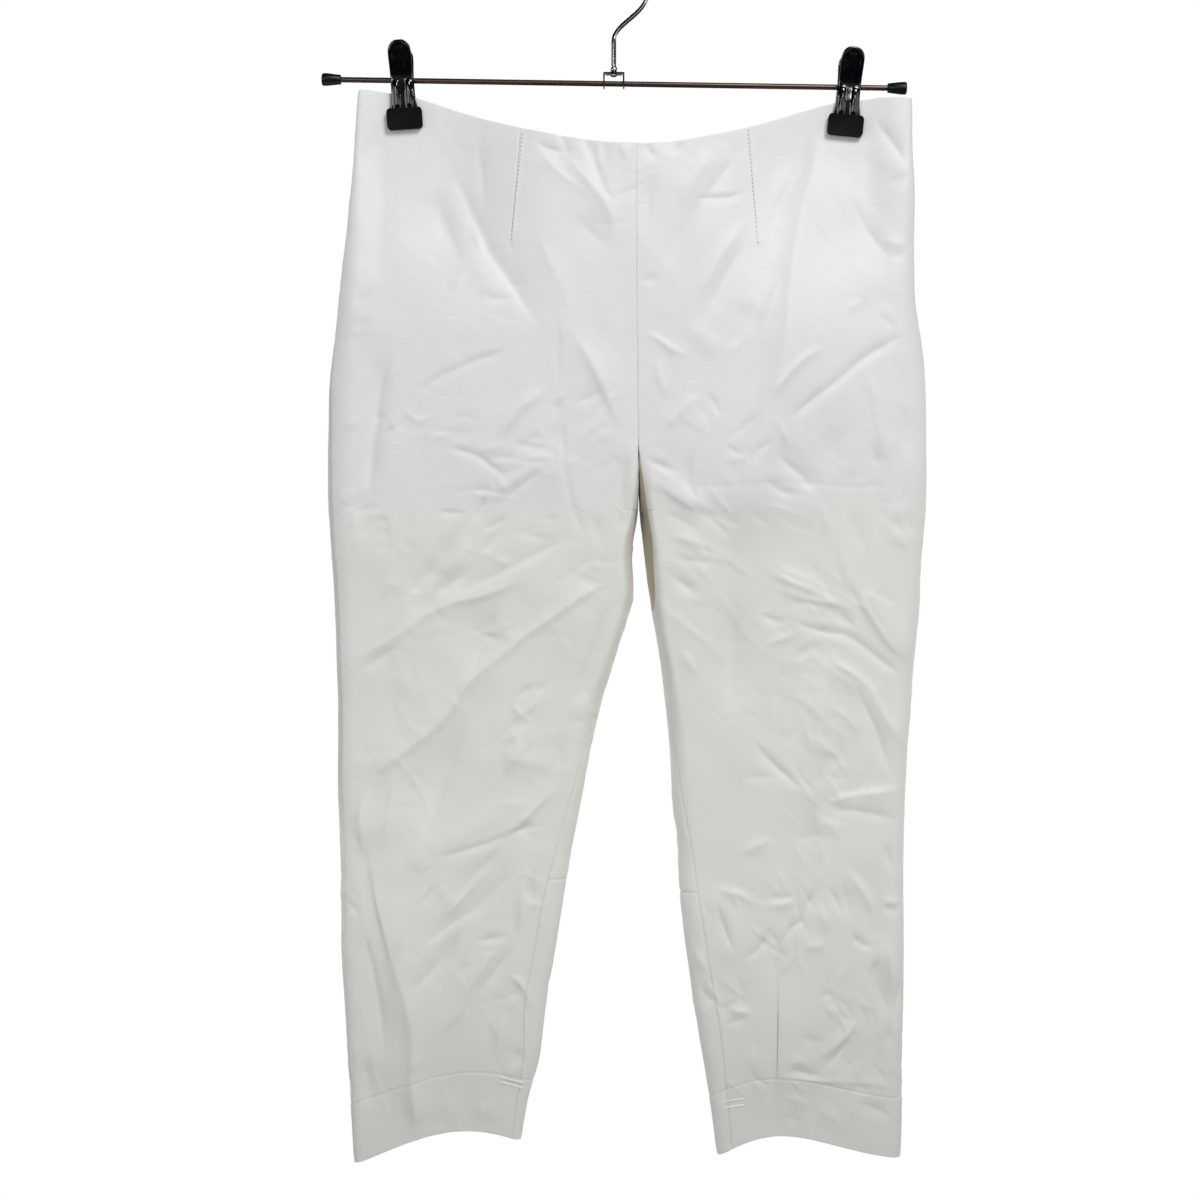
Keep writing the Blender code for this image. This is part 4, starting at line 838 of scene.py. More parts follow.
@dataclass(frozen=True)
class TrouserForm:
    """The smooth surface of one half of the garment, from the waist to the hem.

    At every level an outline runs from the front's inner end, round the side fold, to the back's inner end.
    """

    side: Side
    levels: Array
    samples: int = 320  # across each of the front and the back
    SHARP_START, SHARP_DROP = -450, 90  # where the inner folds become sharp

    def waist_drop(self, x: Array) -> Array:
        """Height of the waist edge above its nominal level at x.

        Args:
            x: X of the places.

        Returns:
            The heights at these places.
        """
        left, right = pad_centre(Side.LEFT)[0], pad_centre(Side.RIGHT)[0]
        centre = SECTION.read("left_in", WAIST_Z)
        on_left = x < centre
        share = np.where(on_left, (x - left) / (centre - left), (right - x) / (right - centre))
        power = np.where(on_left, WAIST_SAG_POWER[Side.LEFT], WAIST_SAG_POWER[Side.RIGHT])
        sag = WAIST_SAG * np.sin(np.clip(share, 0, 1) * math.pi / 2) ** power
        corner = WAIST_CORNER_LIFT * ease(np.maximum(left - x, x - right) / WAIST_CORNER_REACH)
        return rod_z(x) - rod_z(left) - WAIST_BELOW_CLIP - sag + corner

    def hem_rise(self, share: Array) -> Array:
        """Height of the hem above its nominal level, a share of the way to the inner fold."""
        outer, inner, bow, skew = HEM_LIFT[self.side]
        return outer + (inner - outer) * ease(share) + bow * np.sin(math.pi * share**skew)

    def pinch(self, x: Array, z: Array) -> Array:
        """1 where the clips press the front and back together, fading to 0 around them.

        Args:
            x: X of the places.
            z: Z of the places.

        Returns:
            The shares at these places.
        """
        held = np.zeros(np.broadcast(x, z).shape)
        for side, inward in ((Side.LEFT, 1), (Side.RIGHT, -1)):
            centre_x, centre_z = pad_centre(side)
            across = (x - centre_x) * inward
            inner = 1 - ease((across - PINCH_REACH_INWARD) / PINCH_FADE_INWARD)
            outer = 1 - ease((-across - PINCH_REACH_OUTWARD) / PINCH_FADE_OUTWARD)
            below = centre_z - PAD_HEIGHT / 2 - z
            down = 1 - ease((below - PINCH_REACH_DOWN) / PINCH_FADE_DOWN)
            held = np.maximum(held, np.where(across > 0, inner, outer) * down)
        return held

    def folds(self, face: Face, x: Array, z: Array) -> Array:
        """Sum of the large folds' heights.

        Args:
            face: The front or the back.
            x: X of the places.
            z: Z of the places.

        Returns:
            The heights at these places.
        """
        total = np.zeros(np.broadcast(x, z).shape)
        for x0, z0, x1, z1, half_width, height in FOLDS[face]:
            run_x, run_z = x1 - x0, z1 - z0
            length = math.hypot(run_x, run_z)
            along = ((x - x0) * run_x + (z - z0) * run_z) / length**2
            across = ((x - x0) * run_z - (z - z0) * run_x) / length
            fade = ease((along + FOLD_OVERRUN) / FOLD_FADE) * ease((1 + FOLD_OVERRUN - along) / FOLD_FADE)
            total += height * fade * bell(across / half_width)
        return FOLD_SHARE * total

    def sheet_y(self, face: Face, x: Array, share: Array, z: Array) -> Array:
        """Depth of the front or the back, a share of the way to the inner fold.

        Args:
            face: The front or the back.
            x: X of the places.
            share: Their shares of the way from the side fold to the inner fold.
            z: Z of the places.

        Returns:
            Y at these places.
        """
        outer, middle, inner = (SECTION.read(f"{face.value}_{place}", z) for place in ("side", "mid", "in"))
        depth = outer * (1 - share) * (1 - 2 * share) + middle * 4 * share * (1 - share)
        depth += inner * share * (2 * share - 1)
        free = 1 - self.pinch(x, z)
        depth = PRESSED + (depth - PRESSED) * free + self.folds(face, x, z) * free
        return -depth if face is Face.FRONT else depth

    def outline(self) -> Array:
        """Points of the outline at every level.

        Returns:
            An array of levels by points by three coordinates.
        """
        level = self.levels[:, None]
        side, outward = self.side.value, self.side.outward
        at_waist = ease(1 - (WAIST_Z - level) / WAIST_EASE)
        at_hem = ease(1 - (level - HEM_Z - HEM_DEPTH) / HEM_EASE)
        outer_x = SECTION.read(f"{side}_out", level + at_hem * self.hem_rise(np.zeros(1)))
        inner_level = level + at_hem * self.hem_rise(np.ones(1))
        centre = (SECTION.read("left_in", level) + SECTION.read("right_in", level)) / 2
        inner_x = np.where(level < CROTCH_Z, SECTION.read(f"{side}_in", inner_level), centre)
        inner_x = inner_x + outward * SEAM_GAP / 2
        width = np.abs(inner_x - outer_x)
        share = ((1 - np.cos(np.linspace(0, math.pi, self.samples + 1))) / 2)[None, :]
        x = outer_x + (inner_x - outer_x) * share
        z = level + at_waist * self.waist_drop(x) + at_hem * self.hem_rise(share)

        def fold_edge(distance: Array, round_: Array, power: Array) -> Array:
            """0 at a fold and 1 from its round on."""
            return (1 - (1 - np.clip(distance / round_, 0, 1)) ** 2) ** power

        halves = []
        for face in Face:
            y = self.sheet_y(face, x, share, z)
            y = y * fold_edge(share * width, FOLD_ROUND * SECTION.read("out_round", level), 0.5)
            fork = FORK_Z[face]
            turned = np.clip((fork - level) / (fork - CROTCH_Z), 0, 1)
            end = y[:, -1:]
            end_y = end + (SECTION.read("in_y", level) - end) * (1 - np.sqrt(1 - turned**2))
            sharp = (1 - FOLD_ROUND) * lowered(level, self.SHARP_START, self.SHARP_DROP)
            in_round = SECTION.read(f"{side}_round", level) * (1 - sharp)
            power = SECTION.read("in_power", level)
            y = end_y + (y - end_y) * fold_edge((1 - share) * width, in_round, power)
            halves.append(np.stack([x, y, z], axis=2))
        front, back = halves
        return np.concatenate([front[:, ::-1], back[:, 1:]], axis=1)


EDGE_STEPS = np.array([0.0, 0.25, 0.6, 1.0, 1.5, 2.2, 3.2, 4.5])  # of the points nearest an edge
CROTCH_STEPS = np.array([4.5, 3.1, 2.0, 1.2, 0.6])  # of the rows above the crotch
ROW_STEP = {Face.FRONT: 1.75, Face.BACK: 2.2}
HEM_ROW_STEP = 0.6
SPARE_ROW = 12  # taken out where the rows would be even in number


@dataclass(frozen=True)
class Cut:
    """A kind of panel, which is cut once for each side."""

    face: Face
    part: Part
    columns: int
    name: str
    node: str
    flat: Point  # metres
    area: float  # square metres


CUTS = (
    Cut(Face.FRONT, Part.WHOLE, 139, "front_panel", "front", (0.275, 0.84), 0.165),
    Cut(Face.BACK, Part.UPPER, 121, "back_panel", "back_upper", (0.275, 0.62), 0.135),
    Cut(Face.BACK, Part.LOWER, 101, "back_calf", "back_lower", (0.185, 0.23), 0.036),
)


def spaced(start: float, end: float, step: float) -> Array:
    """Evenly spaced values from start to end, about a step apart, without the last."""
    count = max(1, round(abs(end - start) / step))
    return np.linspace(start, end, count, endpoint=False)


def level_rows(side: Side, cut: Cut) -> Array:
    """Levels of a panel's rows, close together at its edges, at the crotch and at the hem line.

    Args:
        side: The half of the garment.
        cut: The kind of panel.

    Returns:
        An odd number of levels, from the top down.
    """
    knee = KNEE_Z[side]
    hem_line = HEM_Z + HEM_DEPTH
    step = ROW_STEP[cut.face]
    edge = EDGE_STEPS[-1]
    rows = []
    if cut.part is not Part.LOWER:
        rows.append(WAIST_Z - EDGE_STEPS[:-1])
        rows.append(spaced(WAIST_Z - edge, CROTCH_Z + edge, step))
        rows.append(CROTCH_Z + CROTCH_STEPS)
    if cut.part is Part.WHOLE:
        rows.append(spaced(CROTCH_Z, hem_line + edge, step))
    if cut.part is Part.UPPER:
        rows.append(spaced(CROTCH_Z, knee + SEAM_GAP / 2 + edge, step))
        rows.append(knee + SEAM_GAP / 2 + EDGE_STEPS[::-1])
    if cut.part is Part.LOWER:
        rows.append(knee - SEAM_GAP / 2 - EDGE_STEPS[:-1])
        rows.append(spaced(knee - edge, hem_line + edge, step))
    if cut.part is not Part.UPPER:
        rows.append(spaced(hem_line + edge, hem_line - edge, HEM_ROW_STEP))
        rows.append(spaced(hem_line - edge, HEM_Z + edge, step))
        rows.append(HEM_Z + EDGE_STEPS[::-1])
    levels = np.concatenate(rows)
    return levels if len(levels) % 2 else np.delete(levels, SPARE_ROW)


@dataclass(frozen=True)
class Grid:
    """Where a panel's points lie: the level of each row, and arc positions along it."""

    levels: Array
    places: Array
    starts: Array
    ends: Array

    @property
    def level(self) -> Array:
        """The level of every point."""
        return np.broadcast_to(self.levels[:, None], self.places.shape)

    @property
    def from_start(self) -> Array:
        """Distances from where the rows start, at the inner leg of the front and the side of the back."""
        return self.places - self.starts[:, None]

    @property
    def to_end(self) -> Array:
        """Distances to where the rows end."""
        return self.ends[:, None] - self.places


@dataclass
class ClothPanel:
    """One cut panel of the trousers: a thin shell with its creases, seam edges and hem."""

    side: Side
    cut: Cut
    outer: Array | None = None

    SEAM_DEPTH, SEAM_ROLL = 0.4, 1.0  # how far the cloth rolls in at a seam, and over what width
    EDGE_ROLL, EDGE_WIDTH = 0.35, 0.4  # the same at the waist and the hem
    PUCKER, PUCKER_REACH, PUCKER_SIZE = 0.22, 8.0, 6.5  # of the cloth beside a seam
    PUCKER_SHIFT = 31.0  # of the puckers' pattern from seam to seam
    FACING_DEPTH, FACING_BLEND = 24.0, 14.0  # of the waist facing, under which the cloth waves
    FACING_WAVE, FACING_WAVE_SIZE = 0.3, 11.0
    HEM_STEP, HEM_STEP_START, HEM_STEP_WIDTH = 0.3, 0.5, 1.5  # by which the turned-up hem stands out
    STITCH_DEPTH, PICK_DEPTH, PICK_PITCH = 0.4, 0.25, 7.0  # of the stitches along the hem line
    STITCH_ABOVE, STITCH_WIDTH = 0.7, 0.9
    HEM_WAVE, HEM_WAVE_SIZE, HEM_WAVE_REACH, HEM_WAVE_LONG = 0.35, 13.0, 22.0, 0.35
    NOSE_BLEND = 8.0  # the creases of the front run on round a fold over this much
    FORK_BLEND = 40.0  # and round the inner leg from the crotch on down
    DRAPE_SLANT, CREASE_SLANT = (0.8, 0.6, 0.45), (0.75, 0.66, 0.5)  # cosine, sine and squeeze
    # Waves of the drape: whether they run on the slant, height, size and seed.
    DRAPE = ((True, 1.2, 44.0, 1.0), (True, 0.3, 16.0, 2.0), (False, 0.06, 5.5, 3.0))
    # Fine creases: whether they run on the slant, size, height, sharpness and seed.
    FINE_CREASES = (
        (True, 34.0, 0.7, 0.10, 21), (False, 22.0, -0.5, 0.13, 24), (True, 13.0, 0.24, 0.22, 27),
    )
    PATCH_SHARE, PATCH_WAVE, PATCH_SIZE, PATCH_SEED = 0.35, 1.8, 60.0, 11.0  # of the patches that have them
    SMOOTH_HIPS, HIPS_END, HIPS_BLEND = 0.35, -300, 160
    DART_COLUMNS = (0.0, 0.36, 0.50, 1.0)  # shares of the columns at the edges and the dart's two sides
    DART_HALF = 5.0
    DART_BELOW, DART_BLEND = 110.0, 90.0  # how far past its tip the columns keep close
    CREAM_ABOVE, CREAM_BLEND = 20, 60.0  # where the painted warm bounce light of the inner leg starts, above the crotch
    CREAM_LEG = (0.9, -370.0, 110.0)  # painted warm bounce light toward the hems: share, start and drop
    CREAM_INNER = {Face.FRONT: (0.6, 14.0), Face.BACK: (0.9, 40.0)}  # painted warm bounce light beside the inner leg: share, and reach from the inner leg
    DULL_LEG, DULL_HEM = (0.25, -600.0, 250.0), (0.75, -735.0, 190.0)  # painted shade toward the hems, each a share, start and drop
    # painted shadow along the hem's stitch line: its share, and the size of its breaks
    DULL_STITCH, DULL_STITCH_SIZE = 0.3, 9.0
    STRIP_TOP, STRIP_BOTTOM, STRIP_BLEND = -270.0, 690.0, 60.0  # of the painted shade strip at the left side
    STRIP_WIDTH = 12.0
    SHADE_LIMIT = 5.0
    WALL_TAPER = 8.0
    PAD_MARGIN, PAD_BLEND = 2, 9.0

    @property
    def name(self) -> str:
        """The panel's name."""
        return f"{self.cut.name}_{self.side.value}"

    def spans(self, levels: Array, arcs: Array) -> tuple[Array, Array]:
        """Arc positions of the panel's two long edges, row by row.

        Args:
            levels: Z of the rows.
            arcs: Arc positions of the outline's points, row by row.

        Returns:
            Where each row starts and ends.
        """
        side = self.side.value
        closed = levels <= CROTCH_Z
        inner = np.where(closed, WRAP.read(f"{side}_inner", levels), 0.0)
        trim = np.where(closed, SEAM_GAP / 2, 0.0)
        nose = arcs[:, arcs.shape[1] // 2]
        seam = nose - WRAP.read(f"{side}_side", levels)
        if self.cut.face is Face.FRONT:
            return inner + trim, seam - SEAM_GAP / 2
        return seam + SEAM_GAP / 2, arcs[:, -1] + inner - trim

    def places(self, starts: Array, ends: Array, dart: Array, held: Array) -> Array:
        """Arc positions of the columns, gathered at both edges and, where held is 1, along the dart.

        Args:
            starts: Where the rows start.
            ends: Where they end.
            dart: Arc positions of the dart's line.
            held: How far each row's columns gather at the dart, from 0 to 1.

        Returns:
            The positions, rows by columns.
        """
        edge = EDGE_STEPS
        middle = self.cut.columns - 2 * len(edge)
        share = (np.arange(middle) + 1) / (middle + 1)
        even = share[None, :]
        inner = (dart - starts - edge[-1]) / (ends - starts - 2 * edge[-1])
        half = self.DART_HALF / (ends - starts)
        knots = np.stack([np.zeros(len(dart)), inner - half, inner + half, np.ones(len(dart))], axis=1)
        at = np.stack([np.interp(share, self.DART_COLUMNS, row) for row in knots])
        mixed = even * (1 - held[:, None]) + at * held[:, None]
        span = (ends - starts - 2 * edge[-1])[:, None]
        inside = starts[:, None] + edge[-1] + span * mixed
        return np.hstack([starts[:, None] + edge, inside, ends[:, None] - edge[::-1]])

    def dart_arcs(self, levels: Array, points: Array, arcs: Array) -> Array:
        """Arc positions of the dart's line, row by row.

        Args:
            levels: Z of the rows.
            points: The outline's points, row by row.
            arcs: Their arc positions.

        Returns:
            A position for each row.
        """
        dart = DARTS[self.cut.face][self.side]
        dart_x = np.interp(levels, (dart.tip[1], dart.top[1]), (dart.tip[0], dart.top[0]))
        middle = points.shape[1] // 2
        half = slice(0, middle + 1) if self.cut.face is Face.FRONT else slice(middle, None)
        found = []
        for x, row, arc in zip(dart_x, points[:, half, 0], arcs[:, half]):
            order = slice(None, None, 1 if row[0] < row[-1] else -1)
            found.append(np.interp(x, row[order], arc[order]))
        return np.array(found)

    def crease_relief(self, x: Array, z: Array, face: Face) -> Array:
        """Height of all creases of the front or the back.

        Args:
            x: X of the places.
            z: Z of the places.
            face: The front or the back.

        Returns:
            The heights at these places.
        """
        total = np.zeros(x.shape)
        for crease in all_creases(face):
            total += crease.relief(x, z)
        return total

    def front_share(self, places: Array, arcs: Array, levels: Array) -> Array:
        """1 on the front and 0 on the back, blended round the side fold and the inner fold.

        Args:
            places: Arc positions, rows by columns.
            arcs: Arc positions of the outline's points, row by row.
            levels: Z of the rows.

        Returns:
            The shares at these positions.
        """
        nose = arcs[:, arcs.shape[1] // 2][:, None]
        total = arcs[:, -1:]
        width = 2 * self.NOSE_BLEND
        outer = ease(0.5 + (nose - places) / width)
        again = ease(0.5 + (places - total) / width)
        start = ease(0.5 + places / width)
        closed = lowered(levels, CROTCH_Z, self.FORK_BLEND)[:, None]
        return outer * (start * closed + 1 - closed) + again * closed

    def details(self, grid: Grid) -> Array:
        """Rolled seam edges, puckers beside the seams, the turned hem and the rounded free edges.

        Args:
            grid: The panel's grid.

        Returns:
            The heights at the grid's points.
        """
        level, places = grid.level, grid.places
        knee = KNEE_Z[self.side]
        seams = [(grid.from_start, level), (grid.to_end, level)]
        if self.cut.part is not Part.WHOLE:
            seams.append((level - knee if self.cut.part is Part.UPPER else knee - level, places))
        total = np.zeros(places.shape)
        for i, (distance, run) in enumerate(seams):
            total -= self.SEAM_DEPTH * bell(distance / self.SEAM_ROLL)
            spots = np.stack([run, np.full(run.shape, self.PUCKER_SHIFT * i)], axis=2)
            pucker = waviness(spots, self.PUCKER_SIZE, 3.0 + i + self.side.outward)
            total += self.PUCKER * pucker * bell(distance / self.PUCKER_REACH)
        if self.cut.part is not Part.LOWER:
            total -= self.EDGE_ROLL * bell((WAIST_Z - level) / self.EDGE_WIDTH)
            faced = bell((WAIST_Z - level - self.FACING_DEPTH) / self.FACING_BLEND)
            wave = waviness(np.stack([places, level], axis=2), self.FACING_WAVE_SIZE, 8.0)
            total += self.FACING_WAVE * wave * faced
        if self.cut.part is not Part.UPPER:
            self.add_hem(total, grid)
        return total

    def add_hem(self, total: Array, grid: Grid) -> None:
        """Add the turned-up hem's step, its stitches, its waves and its rounded edge to heights.

        Args:
            total: The heights, which are changed in place.
            grid: The panel's grid.
        """
        level, places = grid.level, grid.places
        hem_line = HEM_Z + HEM_DEPTH
        picks = 0.5 + 0.5 * np.cos(2 * math.pi * places / self.PICK_PITCH)
        stitches = self.STITCH_DEPTH + self.PICK_DEPTH * picks**3
        total += self.HEM_STEP * ease((hem_line - level + self.HEM_STEP_START) / self.HEM_STEP_WIDTH)
        total -= stitches * bell((level - hem_line - self.STITCH_ABOVE) / self.STITCH_WIDTH)
        total -= self.EDGE_ROLL * bell((level - HEM_Z) / self.EDGE_WIDTH)
        wave = waviness(np.stack([places, level * self.HEM_WAVE_LONG], axis=2), self.HEM_WAVE_SIZE, 5.0)
        total += self.HEM_WAVE * wave * bell((level - hem_line) / self.HEM_WAVE_REACH)

    def crumple(self, x: Array, z: Array) -> Array:
        """Uneven drape of the cloth between its creases.

        Args:
            x: X of the places.
            z: Z of the places.

        Returns:
            The heights at these places.
        """
        spots = np.stack([x, z], axis=2)
        drape = np.zeros(x.shape)
        along = slanted(x, z, *self.DRAPE_SLANT)
        for slants, height, size, seed in self.DRAPE:
            drape += height * waviness(along if slants else spots, size, seed)
        wave = waviness(spots, self.PATCH_SIZE, self.PATCH_SEED)
        patches = ease(self.PATCH_SHARE + self.PATCH_WAVE * wave)
        below_hips = lowered(z, self.HIPS_END, self.HIPS_BLEND)
        mask = patches * (self.SMOOTH_HIPS + (1 - self.SMOOTH_HIPS) * below_hips)
        cast = slanted(x, z, *self.CREASE_SLANT)
        for slants, size, height, sharpness, seed in self.FINE_CREASES:
            crests = waviness(cast if slants else spots, size, seed)
            drape += height * mask * np.exp(-np.abs(crests) / sharpness)
        return drape

    def build(self) -> Object:
        """Make the panel's shell.

        Returns:
            The panel's object.
        """
        levels = level_rows(self.side, self.cut)
        form = TrouserForm(self.side, levels)
        points = form.outline()
        along, down = np.gradient(points, axis=1), np.gradient(points, axis=0)
        normals = np.cross(along, down)
        normals /= np.maximum(np.linalg.norm(normals, axis=2, keepdims=True), 1e-9)
        normals *= self.side.outward * np.sign(normals[len(levels) // 2, form.samples, 0])
        steps = np.linalg.norm(np.diff(points, axis=1), axis=2)
        arcs = np.concatenate([np.zeros((len(steps), 1)), np.cumsum(steps, axis=1)], axis=1)
        starts, ends = self.spans(levels, arcs)
        tip_z = DARTS[self.cut.face][self.side].tip[1]
        held = ease((levels - tip_z + self.DART_BELOW) / self.DART_BLEND)
        places = self.places(starts, ends, self.dart_arcs(levels, points, arcs), held)
        grid = Grid(levels, places, starts, ends)
        round_arcs = np.hstack([arcs, arcs[:, -1:] + arcs[:, 1 : form.samples]])

        def at_places(values: Array) -> Array:
            """Values at the panel's points."""
            again = np.concatenate([values, values[:, 1 : form.samples]], axis=1)
            return np.stack([
                np.column_stack([np.interp(at, arc, row[:, i]) for i in range(3)])
                for at, arc, row in zip(places, round_arcs, again)
            ])

        base, normal = at_places(points), at_places(normals)
        normal /= np.linalg.norm(normal, axis=2, keepdims=True)
        x, z = base[:, :, 0], base[:, :, 2]
        front = self.front_share(places, arcs, levels)
        relief = front * self.crease_relief(x, z, Face.FRONT)
        relief += (1 - front) * self.crease_relief(x, z, Face.BACK)
        relief += self.crumple(x, z)
        relief *= 1 - self.under_pads(x, z)
        self.outer = base + normal * (relief + self.details(grid))[:, :, None]
        inner = base + normal * (relief - self.wall(grid))[:, :, None]
        from_side = places - arcs[:, arcs.shape[1] // 2][:, None]
        uv = np.stack([from_side * MM, grid.level * MM], axis=2)
        # painted warm bounce light, the painted shade strip beside the fly, and painted shade toward the
        # hems, along the hem's stitching and in the left side strip
        tints = {"cream": self.cream(grid), "tan": self.tan(x, z), "grey": self.grey(grid)}
        return shell_object(self.name, self.outer, inner[::2, ::2], uv, tints)

    def cream(self, grid: Grid) -> Array:
        """How much painted warm bounce light tints the white: beside the inner leg and toward the hem.

        Args:
            grid: The panel's grid.

        Returns:
            Shares from 0 to 1 at the grid's points.
        """
        share, start, drop = self.CREAM_LEG
        low = share * lowered(grid.level, start, drop)
        inner = grid.from_start if self.cut.face is Face.FRONT else grid.to_end
        share, reach = self.CREAM_INNER[self.cut.face]
        near = share * bell(inner / reach)
        below = lowered(grid.level, CROTCH_Z + self.CREAM_ABOVE, self.CREAM_BLEND)
        return np.clip(low + near * below, 0, 1)

    def grey(self, grid: Grid) -> Array:
        """How much painted shade greys the cloth: toward the hems, as a painted shadow along the hem's
        stitching, and in the left side strip.

        Args:
            grid: The panel's grid.

        Returns:
            Shares at the grid's points.
        """
        level = grid.level
        share, start, drop = self.DULL_LEG
        tone = share * lowered(level, start, drop)
        share, start, drop = self.DULL_HEM
        tone = tone + share * np.clip((start - level) / drop, 0, 1)
        if self.cut.part is not Part.UPPER:
            wave = waviness(np.stack([grid.places, 0 * level], axis=2), self.DULL_STITCH_SIZE, 14.0)
            broken = self.DULL_STITCH + self.DULL_STITCH * wave
            tone += broken * bell((level - HEM_Z - HEM_DEPTH - self.STITCH_ABOVE) / self.STITCH_WIDTH)
        if self.side is Side.LEFT and self.cut.face is Face.BACK:
            height = lowered(level, self.STRIP_TOP, self.STRIP_BLEND)
            height = height * ease((level + self.STRIP_BOTTOM) / self.STRIP_BLEND)
            tone += height * (1 - ease((grid.from_start - self.STRIP_WIDTH) / self.STRIP_WIDTH))
        return np.clip(tone, 0, 1)

    def tan(self, x: Array, z: Array) -> Array:
        """Distance into the painted shade strip beside the fly of the right leg, negative outside it.

        Args:
            x: X of the places.
            z: Z of the places.

        Returns:
            The distances at these places.
        """
        if self.side is Side.LEFT:
            return np.full(x.shape, -self.SHADE_LIMIT)
        rows = np.array(SHADED_EDGE)[::-1]
        edge = np.interp(z, rows[:, 1], rows[:, 0])
        inside = np.minimum(edge - x, np.minimum(rows[-1, 1] - z, z - rows[0, 1]))
        return np.clip(inside, -self.SHADE_LIMIT, self.SHADE_LIMIT)

    def wall(self, grid: Grid) -> Array:
        """Thickness of the cloth, thinner toward its edges.

        Args:
            grid: The panel's grid.

        Returns:
            The thickness at the grid's points.
        """
        near = np.minimum(grid.from_start, grid.to_end)
        if self.cut.part is not Part.LOWER:
            near = np.minimum(near, WAIST_Z - grid.level)
        if self.cut.part is not Part.UPPER:
            near = np.minimum(near, grid.level - HEM_Z)
        return EDGE_WALL + (WALL - EDGE_WALL) * ease(near / self.WALL_TAPER)

    def under_pads(self, x: Array, z: Array) -> Array:
        """1 under the clips' pads, where the cloth is pressed flat, and 0 a little past them.

        Args:
            x: X of the places.
            z: Z of the places.

        Returns:
            The shares at these places.
        """
        held = np.zeros(x.shape)
        for side in Side:
            centre_x, centre_z = pad_centre(side)
            away_x = np.maximum(np.abs(x - centre_x) - PAD_WIDTH / 2 - self.PAD_MARGIN, 0)
            away_z = np.maximum(np.abs(z - centre_z) - PAD_HEIGHT / 2 - self.PAD_MARGIN, 0)
            held = np.maximum(held, 1 - ease(np.hypot(away_x, away_z) / self.PAD_BLEND))
        return held

    def surface_at(self, x: float, z: float) -> tuple[Vector, Vector]:
        """The point of the panel's outer face nearest to a place, and the way out of the cloth.

        Args:
            x: X of the place.
            z: Z of the place.

        Returns:
            The point and the direction.
        """
        gap = (self.outer[1:-1, 1:-1, 0] - x) ** 2 + (self.outer[1:-1, 1:-1, 2] - z) ** 2
        row, column = np.unravel_index(int(np.argmin(gap)), gap.shape)
        row, column = row + 1, column + 1
        across = self.outer[row, column + 1] - self.outer[row, column - 1]
        down = self.outer[row + 1, column] - self.outer[row - 1, column]
        normal = Vector(np.cross(across, down)).normalized()
        if normal.y * (1 if self.cut.face is Face.FRONT else -1) > 0:
            normal = -normal
        point = Vector(self.outer[row, column])
        point.x, point.z = x, z
        return point, normal


def shell_object(name: str, outer: Array, inner: Array, uv: Array,
                 tints: dict[str, Array]) -> Object:
    """A closed thin shell from a fine outer grid and an inner grid of every second row and column.

    Args:
        name: The object's name.
        outer: Outer points, an odd number of rows and columns.
        inner: Inner points, at every second outer point.
        uv: Pattern coordinates of the outer points.
        tints: Painted light and shade at the outer points that the finish reads, by name.

    Returns:
        The shell's object.
    """
    rows, columns = outer.shape[:2]
    few_rows, few_columns = inner.shape[:2]
    count = rows * columns
    grid = np.arange(count).reshape(rows, columns)
    few = count + np.arange(few_rows * few_columns).reshape(few_rows, few_columns)

    def quads(at: Array, flip: bool) -> Array:
        """The grid's faces.

        Args:
            at: Numbers of the grid's points, rows by columns.
            flip: Whether the faces look the other way.

        Returns:
            Four point numbers for each face.
        """
        corners = [at[:-1, :-1], at[1:, :-1], at[1:, 1:], at[:-1, 1:]]
        faces = np.stack(corners[::-1] if flip else corners, axis=2)
        return faces.reshape(-1, 4)

    across, down = outer[0, 1] - outer[0, 0], outer[1, 0] - outer[0, 0]
    middle = outer[rows // 2, columns // 2] - inner[few_rows // 2, few_columns // 2]
    face = np.cross(
        outer[rows // 2 + 1, columns // 2] - outer[rows // 2, columns // 2],
        outer[rows // 2, columns // 2 + 1] - outer[rows // 2, columns // 2],
    )
    flip = bool(face @ middle < 0)
    faces = [*quads(grid, flip).tolist(), *quads(few, not flip).tolist()]
    edges = (
        (grid[0], few[0], False), (grid[:, -1], few[:, -1], False),
        (grid[-1], few[-1], True), (grid[:, 0], few[:, 0], True),
    )
    for fine, coarse, back in edges:
        turn = back != flip
        for i in range(len(coarse) - 1):
            a, b, c = fine[2 * i], fine[2 * i + 1], fine[2 * i + 2]
            p, q = coarse[i], coarse[i + 1]
            for triangle in ((a, b, p), (b, q, p), (b, c, q)):
                faces.append([int(v) for v in (triangle if not turn else triangle[::-1])])
    points = np.vstack([outer.reshape(-1, 3), inner.reshape(-1, 3)]) * MM
    mesh = bpy.data.meshes.new(name)
    mesh.from_pydata(points.tolist(), [], faces)
    layer = mesh.uv_layers.new(name="cloth")
    flat = np.vstack([uv.reshape(-1, 2), uv[::2, ::2].reshape(-1, 2)])
    indices = np.empty(len(mesh.loops), dtype=np.int32)
    mesh.loops.foreach_get("vertex_index", indices)
    layer.data.foreach_set("uv", flat[indices].ravel().astype(np.float32))
    for label, values in tints.items():
        both = np.concatenate([values.ravel(), values[::2, ::2].ravel()]).astype(np.float32)
        mesh.attributes.new(label, "FLOAT", "POINT").data.foreach_set("value", both)
    mesh.shade_smooth()
    mesh.validate()
    item = bpy.data.objects.new(name, mesh)
    bpy.context.scene.collection.objects.link(item)
    return item


